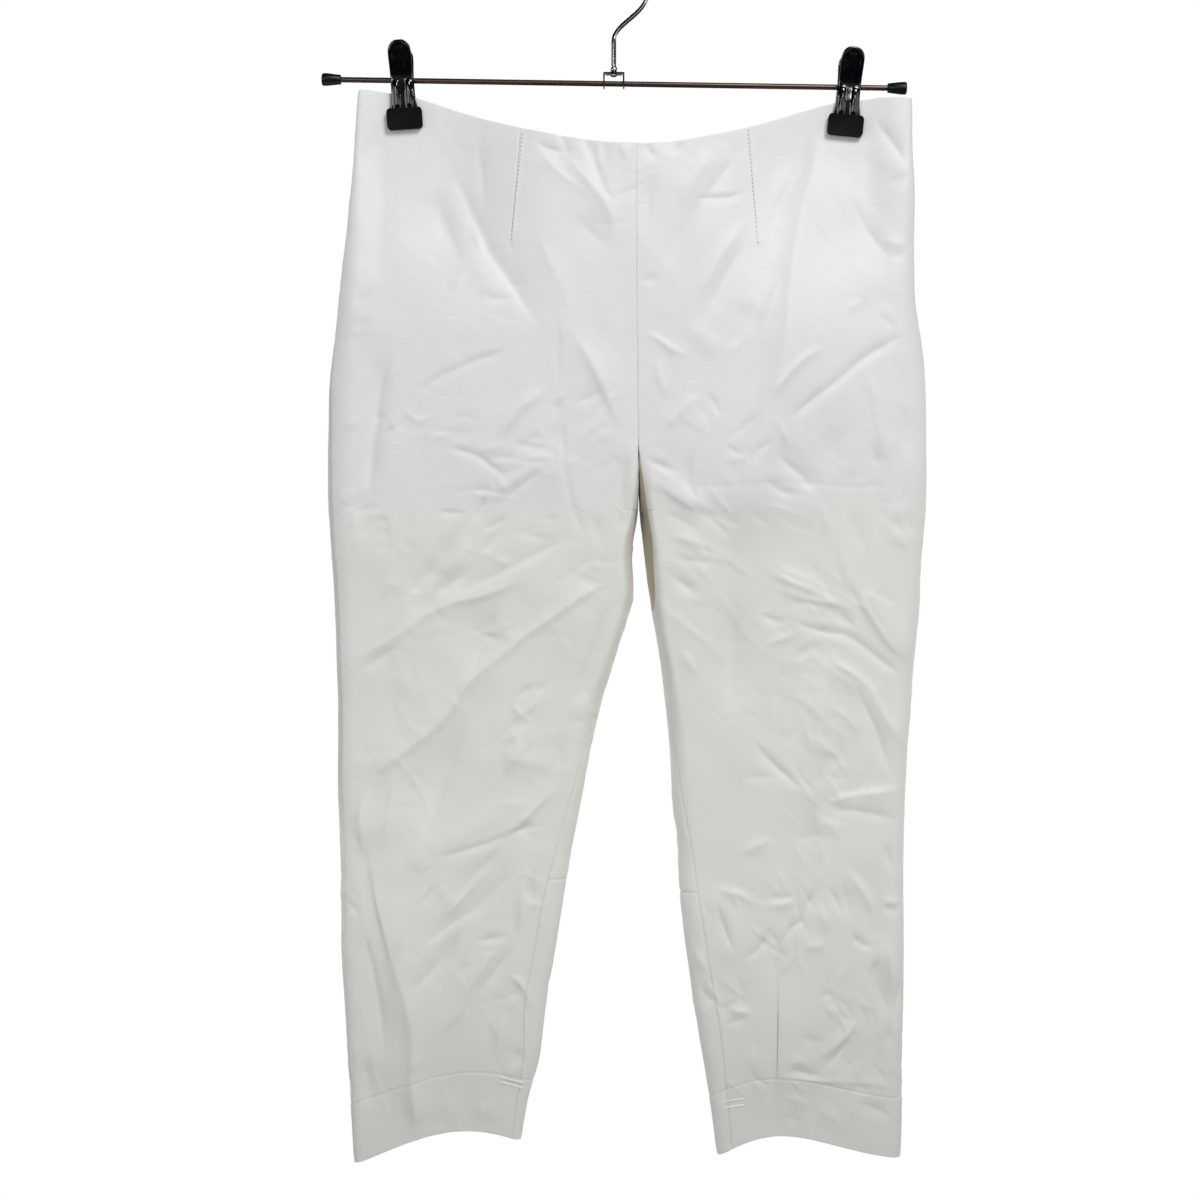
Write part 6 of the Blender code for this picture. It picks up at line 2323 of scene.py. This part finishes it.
    def build_bracket(self, chrome: Material) -> None:
        """Model the bracket: a strip whose ends are extruded down and bent, with the rod's holes.

        Args:
            chrome: The bracket's finish.
        """
        x, top = self.shank_x, self.bracket_top
        bottom = float(rod_z(x)) - self.below_rod
        piece = Workpiece.start("rod_bracket", "cube", (x, 0, top - self.sheet / 2), size=1.0,
                                scale=(self.bracket_width * MM, self.bracket_depth * MM, self.sheet * MM))
        edge = self.bracket_width / 2
        for out in (-1, 1):
            bpy.ops.mesh.select_all(action="SELECT")
            cut_at = Vector((x + out * (edge - self.sheet), 0, top))
            bpy.ops.mesh.bisect(plane_co=cut_at * MM, plane_no=(1, 0, 0))
        piece.pick("FACE", lambda at, normal: normal.z < -FACING and abs(at.x - x) > edge - self.sheet)
        drop = top - self.sheet - bottom
        for _ in range(2):
            piece.extrude((0, 0, -drop / 2))
        piece.pick("EDGE", lambda at, along: abs(along.y) > FACING and at.z > top - NEAR
                   and abs(at.x - x) > edge - NEAR)
        piece.bevel(self.corner, 6)
        inner = edge - self.sheet
        piece.pick("EDGE", lambda at, along: abs(along.y) > FACING and abs(at.z - top + self.sheet) < NEAR
                   and abs(abs(at.x - x) - inner) < NEAR)
        piece.bevel(self.corner - self.sheet, 4)
        piece.pick("EDGE", lambda at, along: abs(along.x) > FACING and at.z < bottom + NEAR)
        piece.bevel(self.strap_rounding, 5)
        clear_selection()
        rod_turn = (0, math.pi / 2 + ROD_TILT, 0)
        for name, radius, depth, centre, turn in (
            ("rod_hole", ROD_RADIUS + 0.15, self.bracket_width + 6, (x, 0, float(rod_z(x))), rod_turn),
            ("neck_hole", self.neck + 0.3, 8.0, (x, 0, top), (0, 0, 0)),
        ):
            cutter = Workpiece.start(name, "cylinder", centre, turn, vertices=32, radius=radius * MM,
                                     depth=depth * MM)
            clear_selection()
            piece.modify("BOOLEAN", object=cutter.item, operation="DIFFERENCE", solver="EXACT")
            bpy.data.objects.remove(cutter.item, do_unlink=True)
        piece.modify("BEVEL", width=self.sheet_rounding * MM, segments=2, limit_method="ANGLE",
                     angle_limit=math.radians(40))
        piece.smooth(40)
        dress(piece.item, chrome, Slot.HOOK, "bracket")


@dataclass
class Clip:
    """A sprung clip: a sleeve on the rod, a coil spring, two pressed sheet jaws and their rubber pads."""

    side: Side
    sheet: float = 0.9
    # Height from the rod's axis, half width, distance of the sheet's middle from the rod.
    rows: tuple[tuple[float, float, float], ...] = (
        (28.0, 2.6, 13.2), (27.3, 4.4, 13.15), (26.2, 6.0, 13.0), (24.6, 7.3, 12.8), (22.6, 8.2, 12.5),
        (20.0, 8.6, 11.8), (17.0, 8.6, 10.8), (13.0, 8.5, 9.3), (9.0, 8.4, 7.6), (5.0, 8.4, 6.0),
        (1.5, 8.4, 5.1), (-1.0, 8.4, 5.0), (-3.0, 8.4, 5.0), (-7.0, 8.4, 5.1), (-11.0, 8.5, 5.1),
        (-15.0, 8.8, 4.9), (-18.0, 9.5, 4.6), (-20.5, 10.3, 4.2), (-22.0, 10.5, 3.9), (-33.0, 10.5, 3.85),
    )
    across: int = 18
    rib_x: float = 4.7
    rib_half: float = 1.5
    rib_top: float = -2.0
    rib_bottom: float = -20.8
    dimple_z: float = 19.0
    dimple_radius: float = 6.2
    flange: float = 2.2
    pad_thickness: float = 4.4
    pad_corner: float = 3.0
    pad_gap: float = 0.3  # from the cloth
    flange_end: float = -20.0
    flange_lip: float = 0.8
    flange_draw: float = 0.985
    pocket_wall: float = 0.9
    pocket_depth: float = 2.5
    grip_inset: float = 0.55
    grip_slope: float = 0.35
    grip_depth: float = 0.18
    pad_rounding: float = 0.45
    coil_start: tuple[float, float, float] = (-3.2, 0.0, 5.0)
    coil_wire: float = 0.55
    coil_pitch: float = 1.3
    coil_turns: int = 5
    LIFT = 200  # holds the rows that are done clear of the blank
    # Share of the size and depth of each push that presses the ribs and the dimple.
    RIB_PUSHES = ((1.0, 0.7), (0.55, 0.7))
    DIMPLE_PUSHES = ((1.0, 0.6), (0.75, 0.6), (0.45, 0.4))

    @property
    def at(self) -> Matrix:
        """Place and lean of the clip on the rod, in metres."""
        x, lean = CLIPS[self.side]
        return Matrix.Translation(Vector((x, 0.0, float(rod_z(x)))) * MM) @ Matrix.Rotation(lean, 4, "Y")

    def pressed_jaw(self) -> Workpiece:
        """Model the front jaw upright on the axis: a grid pulled to the jaw's outline, then pressed.

        Returns:
            The jaw, which both sides of a clip are copied from.
        """
        piece = Workpiece.start("jaw_blank", "grid", (0, 0, 0), (math.pi / 2, 0, 0),
                                x_subdivisions=self.across, y_subdivisions=len(self.rows) - 1, size=2 * MM)
        last = len(self.rows) - 1
        for i, (z, half_width, out) in enumerate(self.rows):
            level = 1 - 2 * i / last
            piece.pick("VERT", lambda at, normal: abs(at.z - level) < 0.5 / last and abs(at.y) < 0.01)
            piece.size((half_width, 1, 1), (0, 0, level))
            piece.move((0, -out, self.LIFT + z - level))
        bpy.ops.mesh.select_all(action="SELECT")
        piece.move((0, 0, -self.LIFT))
        piece.pick("EDGE", lambda at, along: abs(abs(at.x) - self.half_width(at.z)) < 0.15
                   and at.z > self.flange_end or at.z > self.rows[0][0] - NEAR)
        piece.extrude((0, self.flange_lip, 0))
        piece.size((self.flange_draw, 1, 1), (0, 0, 0))
        piece.extrude((0, self.flange - self.flange_lip, 0))
        for share, push in self.RIB_PUSHES:
            half = self.rib_half * share + 0.35
            piece.pick("VERT", lambda at, normal: abs(abs(at.x) - self.rib_x) < half and at.y < -3.0
                       and self.rib_bottom < at.z < self.rib_top and not self.on_flange(at))
            piece.move((0, -push, 0))
        for share, push in self.DIMPLE_PUSHES:
            reach = self.dimple_radius * share
            piece.pick("VERT", lambda at, normal: math.hypot(at.x, at.z - self.dimple_z) < reach
                       and not self.on_flange(at))
            piece.move((0, push, 0))
        piece.modify("SOLIDIFY", thickness=self.sheet * MM, offset=0.0)
        piece.modify("SUBSURF", levels=2, render_levels=2)
        piece.smooth(60)
        return piece

    def half_width(self, z: float) -> float:
        """The jaw's half width at a height."""
        heights, half_widths, _ = zip(*self.rows[::-1])
        return float(np.interp(z, heights, half_widths))

    def sheet_out(self, z: float) -> float:
        """Distance of the jaw's sheet from the rod at a height."""
        heights, _, outs = zip(*self.rows[::-1])
        return float(np.interp(z, heights, outs))

    def on_flange(self, at: Vector) -> bool:
        """Whether a point lies on the turned edge of the jaw."""
        return abs(at.x) > self.half_width(at.z) - 0.2 or at.y > 0.5 - self.sheet_out(at.z)

    def moulded_pad(self) -> Workpiece:
        """Model the front pad: a rounded block with a pocket for the tongue and a grooved gripping face.

        Returns:
            The pad, which both jaws' pads are copied from.
        """
        inner = PRESSED + self.pad_gap
        centre = (0, -inner - self.pad_thickness / 2, PAD_TOP_Z - PAD_HEIGHT / 2)
        piece = Workpiece.start("pad_blank", "cube", centre, size=1.0,
                                scale=(PAD_WIDTH * MM, self.pad_thickness * MM, PAD_HEIGHT * MM))
        piece.pick("EDGE", lambda at, along: abs(along.y) > FACING)
        piece.bevel(self.pad_corner, 6)
        piece.pick("FACE", lambda at, normal: normal.z > FACING)
        piece.inset(self.pocket_wall)
        piece.extrude((0, 0, -self.pocket_depth))
        piece.pick("FACE", lambda at, normal: normal.y < -FACING)
        piece.inset(self.grip_inset)
        piece.inset(self.grip_slope, -self.grip_depth)
        piece.modify("BEVEL", width=self.pad_rounding * MM, segments=3, limit_method="ANGLE",
                     angle_limit=math.radians(50))
        piece.smooth(50)
        return piece

    def coil(self, steel: Material) -> None:
        """Wind the spring round the sleeve: a small circle turned by a screw.

        Args:
            steel: The spring's finish.
        """
        name = f"clip_{self.side.value}_spring"
        piece = Workpiece.start(name, "circle", self.coil_start, (math.pi / 2, 0, 0), vertices=10,
                                radius=self.coil_wire * MM)
        piece.modify("SCREW", axis="X", screw_offset=self.coil_pitch * MM, iterations=self.coil_turns,
                     steps=28, render_steps=28, use_merge_vertices=False)
        piece.smooth(60)
        piece.edit()
        bpy.ops.mesh.select_all(action="SELECT")
        bpy.ops.mesh.fill_holes(sides=12)
        clear_selection()
        piece.item.data.transform(self.at)
        dress(piece.item, steel, Slot.CLIP)

    def build(self, chrome: Material, rubber: Material, steel: Material) -> None:
        """Model and dress the clip's pieces.

        Args:
            chrome: The finish of the jaws and the sleeve.
            rubber: The pads' finish.
            steel: The spring's finish.
        """
        name = self.side.value
        jaw, pad = self.pressed_jaw(), self.moulded_pad()
        for face, about_z in ((Face.FRONT, 0.0), (Face.BACK, math.pi)):
            place = self.at @ Matrix.Rotation(about_z, 4, "Z")
            jaw_copy = jaw.copy(f"clip_{name}_{face.value}_pressed_jaw", place)
            dress(jaw_copy.item, chrome, Slot.CLIP, f"clip_{name}_{face.value}_jaw")
            pad_copy = pad.copy(f"clip_{name}_{face.value}_rubber_pad", place)
            dress(pad_copy.item, rubber, Slot.PADS, f"clip_{name}_{face.value}_pad")
        for blank in (jaw, pad):
            bpy.data.objects.remove(blank.item, do_unlink=True)
        self.coil(steel)
        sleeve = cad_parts[f"clip_{name}_sleeve"]
        sleeve.data.materials.clear()
        sleeve.data.materials.append(chrome)


# ---- trousers ------------------------------------------------------------------------------------
@dataclass
class Trousers:
    """The six cloth panels and their sewing."""

    panels: dict[str, ClothPanel] = field(default_factory=dict)

    def build(self, cloth: Material, thread: Material, bar_thread: Material) -> None:
        """Args:
            cloth: The panels' finish.
            thread: The dart stitches' finish.
            bar_thread: The bar tacks' finish.
        """
        for side in Side:
            for cut in CUTS:
                panel = ClothPanel(side, cut)
                item = panel.build()
                dress(item, cloth, Slot.CLOTH, f"{cut.node}_{side.value}")
                self.panels[panel.name] = panel
        self.sew(thread, bar_thread)

    def sew(self, thread: Material, bar_thread: Material) -> None:
        """Lay the stitches of the darts and the hem's ends.

        Args:
            thread: The dart stitches' finish.
            bar_thread: The bar tacks' finish.
        """
        routes = []
        for face, name in ((Face.FRONT, "front_panel"), (Face.BACK, "back_panel")):
            for side, dart in DARTS[face].items():
                routes.append((self.panels[f"{name}_{side.value}"], dart.stitch_line()))
        dress(Stitching().rows("dart_stitches", routes), thread, Slot.CLOTH)
        tacks = [(self.panels[name], line) for name, lines in BAR_TACKS.items() for line in lines]
        bars = Stitching(length=2.0, pitch=1.2, radius=0.75)
        dress(bars.rows("hem_bar_tacks", tacks), bar_thread, Slot.CLOTH)


# ---- studio --------------------------------------------------------------------------------------
@dataclass
class Studio:
    """Camera, soft lights, white surround and a pale floor."""

    eye: tuple[float, float, float] = (-0.010, -1.6, -0.5017)
    half_width: float = 0.462  # of the view, at the hanger's plane
    floor_z: float = -1.30
    floor_radius: float = 1.12
    ambient: float = 0.22
    backdrop: float = 0.62  # light from behind the hanger
    left_strip: float = 0.5
    right_strip: float = 0.25
    key_power: float = 66.0
    fill_power: float = 8.5
    back_power: float = 17.0
    spark_power: float = 0.5
    WHITE, COOL, WARM = (1.0, 1.0, 1.0), (0.985, 0.99, 1.0), (1.0, 0.995, 0.985)
    LIGHT_SIZE, SPARK_SIZE = 1.2, 0.09
    KEY_PLACE, FILL_PLACE, BACK_PLACE = (1.1, -2.25, 1.75), (-1.15, -2.3, 0.0), (-1.2, 2.0, 1.2)
    SPARK_PLACES = {"left": (-0.5, -1.5, 0.25), "right": (0.42, -1.5, 0.25)}
    CLOTH_MIDDLE, CLIPS = (0.0, 0.0, -0.45), (0.0, 0.0, -0.1)  # what the lights and the sparks face
    # Where the bands of the room begin and where they are full, as shares of a direction.
    WALL_BAND, STRIP_BAND, LEVEL_BAND = (-0.1, 0.35), (0.7, 0.86), (0.08, 0.3)
    SIDE_BAND, BEHIND_BAND = (0.08, 0.35), (0.2, 0.7)
    ROOM_DARK, ROOM_BRIGHT = 0.06, 0.9  # in front of the metal, and at its sides and behind it
    FAR = 50.0  # metres, past the floor's rim
    FLOOR_SIDES, FLOOR_FADE = 96, 0.5  # the fade starts at this share of the radius

    def build(self) -> None:
        """Set everything up."""
        scene = bpy.context.scene
        scene.view_settings.view_transform = "Standard"
        camera = bpy.data.cameras.new("camera")
        camera.angle = 2 * math.atan(self.half_width / -self.eye[1])
        camera.clip_end = self.FAR
        item = bpy.data.objects.new("camera", camera)
        item.location = self.eye
        item.rotation_euler = (math.pi / 2, 0.0, 0.0)
        scene.collection.objects.link(item)
        scene.camera = item
        self.build_world(scene)
        self.build_floor()
        size, middle = self.LIGHT_SIZE, self.CLOTH_MIDDLE
        self.light("key", self.key_power, size, self.KEY_PLACE, middle, self.WARM)
        self.light("fill", self.fill_power, size, self.FILL_PLACE, middle, self.COOL)
        self.light("back", self.back_power, size, self.BACK_PLACE, middle, self.WHITE)
        for name, place in self.SPARK_PLACES.items():
            self.light(f"spark_{name}", self.spark_power, self.SPARK_SIZE, place, self.CLIPS, self.WHITE)

    def build_world(self, scene: Scene) -> None:
        """White to the camera, soft grey light on the object and a banded room for the metal to reflect.

        Args:
            scene: The scene that the world is for.
        """
        world = bpy.data.worlds.new("studio")
        world.use_nodes = True
        scene.world = world
        graph = Graph(world.node_tree)
        graph.tree.nodes.clear()
        path = graph.add("LightPath").outputs
        way = graph.add("SeparateXYZ", {0: graph.add("TexCoord").outputs["Generated"]}).outputs
        wall = graph.ramp(way[1], *self.WALL_BAND, self.ambient, self.backdrop)
        begin, full = self.STRIP_BAND
        left = graph.ramp(way[0], -begin, -full, 0.0, self.left_strip)
        right = graph.ramp(way[0], begin, full, left, self.right_strip)
        soft = graph.background(self.COOL, graph.math("ADD", wall, right))
        height = graph.math("ABSOLUTE", way[2])
        level = graph.ramp(height, *self.LEVEL_BAND, 1.0, 0.0, interpolation_type="SMOOTHSTEP")
        aside = graph.math("ABSOLUTE", way[0])
        sides = graph.ramp(aside, *self.SIDE_BAND, self.ROOM_DARK, self.ROOM_BRIGHT)
        behind = graph.ramp(way[1], *self.BEHIND_BAND, 0.0, self.ROOM_BRIGHT)
        bright = graph.math("MULTIPLY", level, graph.math("MAXIMUM", sides, behind))
        room = graph.background((1, 1, 1), bright)
        lit = graph.add("MixShader", {0: path["Is Glossy Ray"], 1: soft, 2: room}).outputs[0]
        seen = graph.background((1, 1, 1), 1.0)
        mixed = graph.add("MixShader", {0: path["Is Camera Ray"], 1: lit, 2: seen}).outputs[0]
        graph.add("OutputWorld", {0: mixed})

    def build_floor(self) -> None:
        """A round pale floor whose rim fades out."""
        clear_selection()
        bpy.ops.mesh.primitive_circle_add(vertices=self.FLOOR_SIDES, radius=self.floor_radius,
                                          fill_type="TRIFAN", location=(0, 0, self.floor_z))
        item = bpy.context.object
        item.name = "floor"
        bpy.ops.object.transform_apply(location=True, rotation=True, scale=True)
        sockets = {"Base Color": (0.86, 0.86, 0.86, 1), "Roughness": 0.6}
        material, shader, graph = new_material("pale_floor", sockets)
        flat = graph.vector("MULTIPLY", graph.place(), (1, 1, 0))
        away = graph.add("VectorMath", {0: flat}, operation="LENGTH").outputs["Value"]
        inside = self.floor_radius * self.FLOOR_FADE
        fade = graph.ramp(away, inside, self.floor_radius, 1.0, 0.0, interpolation_type="SMOOTHSTEP")
        graph.feed(shader, {"Alpha": fade})
        item.data.materials.append(material)

    @staticmethod
    def light(name: str, power: float, size: float, place: tuple, aim: tuple, colour: Colour) -> None:
        """A square area light that faces a point.

        Args:
            name: The light's name.
            power: Its power in watts.
            size: Its edge in metres.
            place: Where it stands.
            aim: The point it faces.
            colour: Its red, green and blue.
        """
        data = bpy.data.lights.new(name, "AREA")
        data.energy = power
        data.size = size
        data.color = colour
        item = bpy.data.objects.new(name, data)
        item.location = place
        item.rotation_euler = (Vector(aim) - Vector(place)).to_track_quat("-Z", "Y").to_euler()
        bpy.context.scene.collection.objects.link(item)


def main() -> None:
    """Build the pieces in order."""
    logging.basicConfig(level=logging.INFO, format="%(name)s: %(message)s")
    patterns = Patterns()
    cloth = SateenFinish().build(patterns)
    thread = ThreadFinish().build(patterns)
    bar_thread = ThreadFinish("bar_thread", (0.92, 0.92, 0.89)).build(patterns)
    steel = MetalFinish("gunmetal", (0.11, 0.08, 0.068), (0.16, 0.13, 0.115), 0.34, 0.46).build(patterns)
    chrome = MetalFinish("bright_chrome", (0.56, 0.56, 0.57), (0.42, 0.42, 0.42), 0.05, 0.1).build(patterns)
    black = MetalFinish("black_chrome", (0.003, 0.003, 0.0045), (0.02, 0.017, 0.015), 0.06, 0.12,
                        metallic=0.0, ior=1.8).build(patterns)
    rubber = PolymerFinish("black_rubber", (0.0015, 0.0015, 0.0015), (0.004, 0.004, 0.004), 0.6, 0.8)
    rubber = rubber.build(patterns)
    plastic = PolymerFinish("black_plastic", (0.002, 0.002, 0.002), (0.006, 0.006, 0.006), 0.3, 0.45,
                            specular=0.3).build(patterns)

    Studio().build()
    LOG.info("studio is up")
    Rod().build(steel, plastic)
    hook = Hook()
    hook.build_wire(chrome)
    hook.build_swivel(chrome)
    hook.build_bracket(chrome)
    for side in Side:
        Clip(side).build(black, rubber, steel)
    Trousers().build(cloth, thread, bar_thread)


if __name__ == "__main__":
    main()
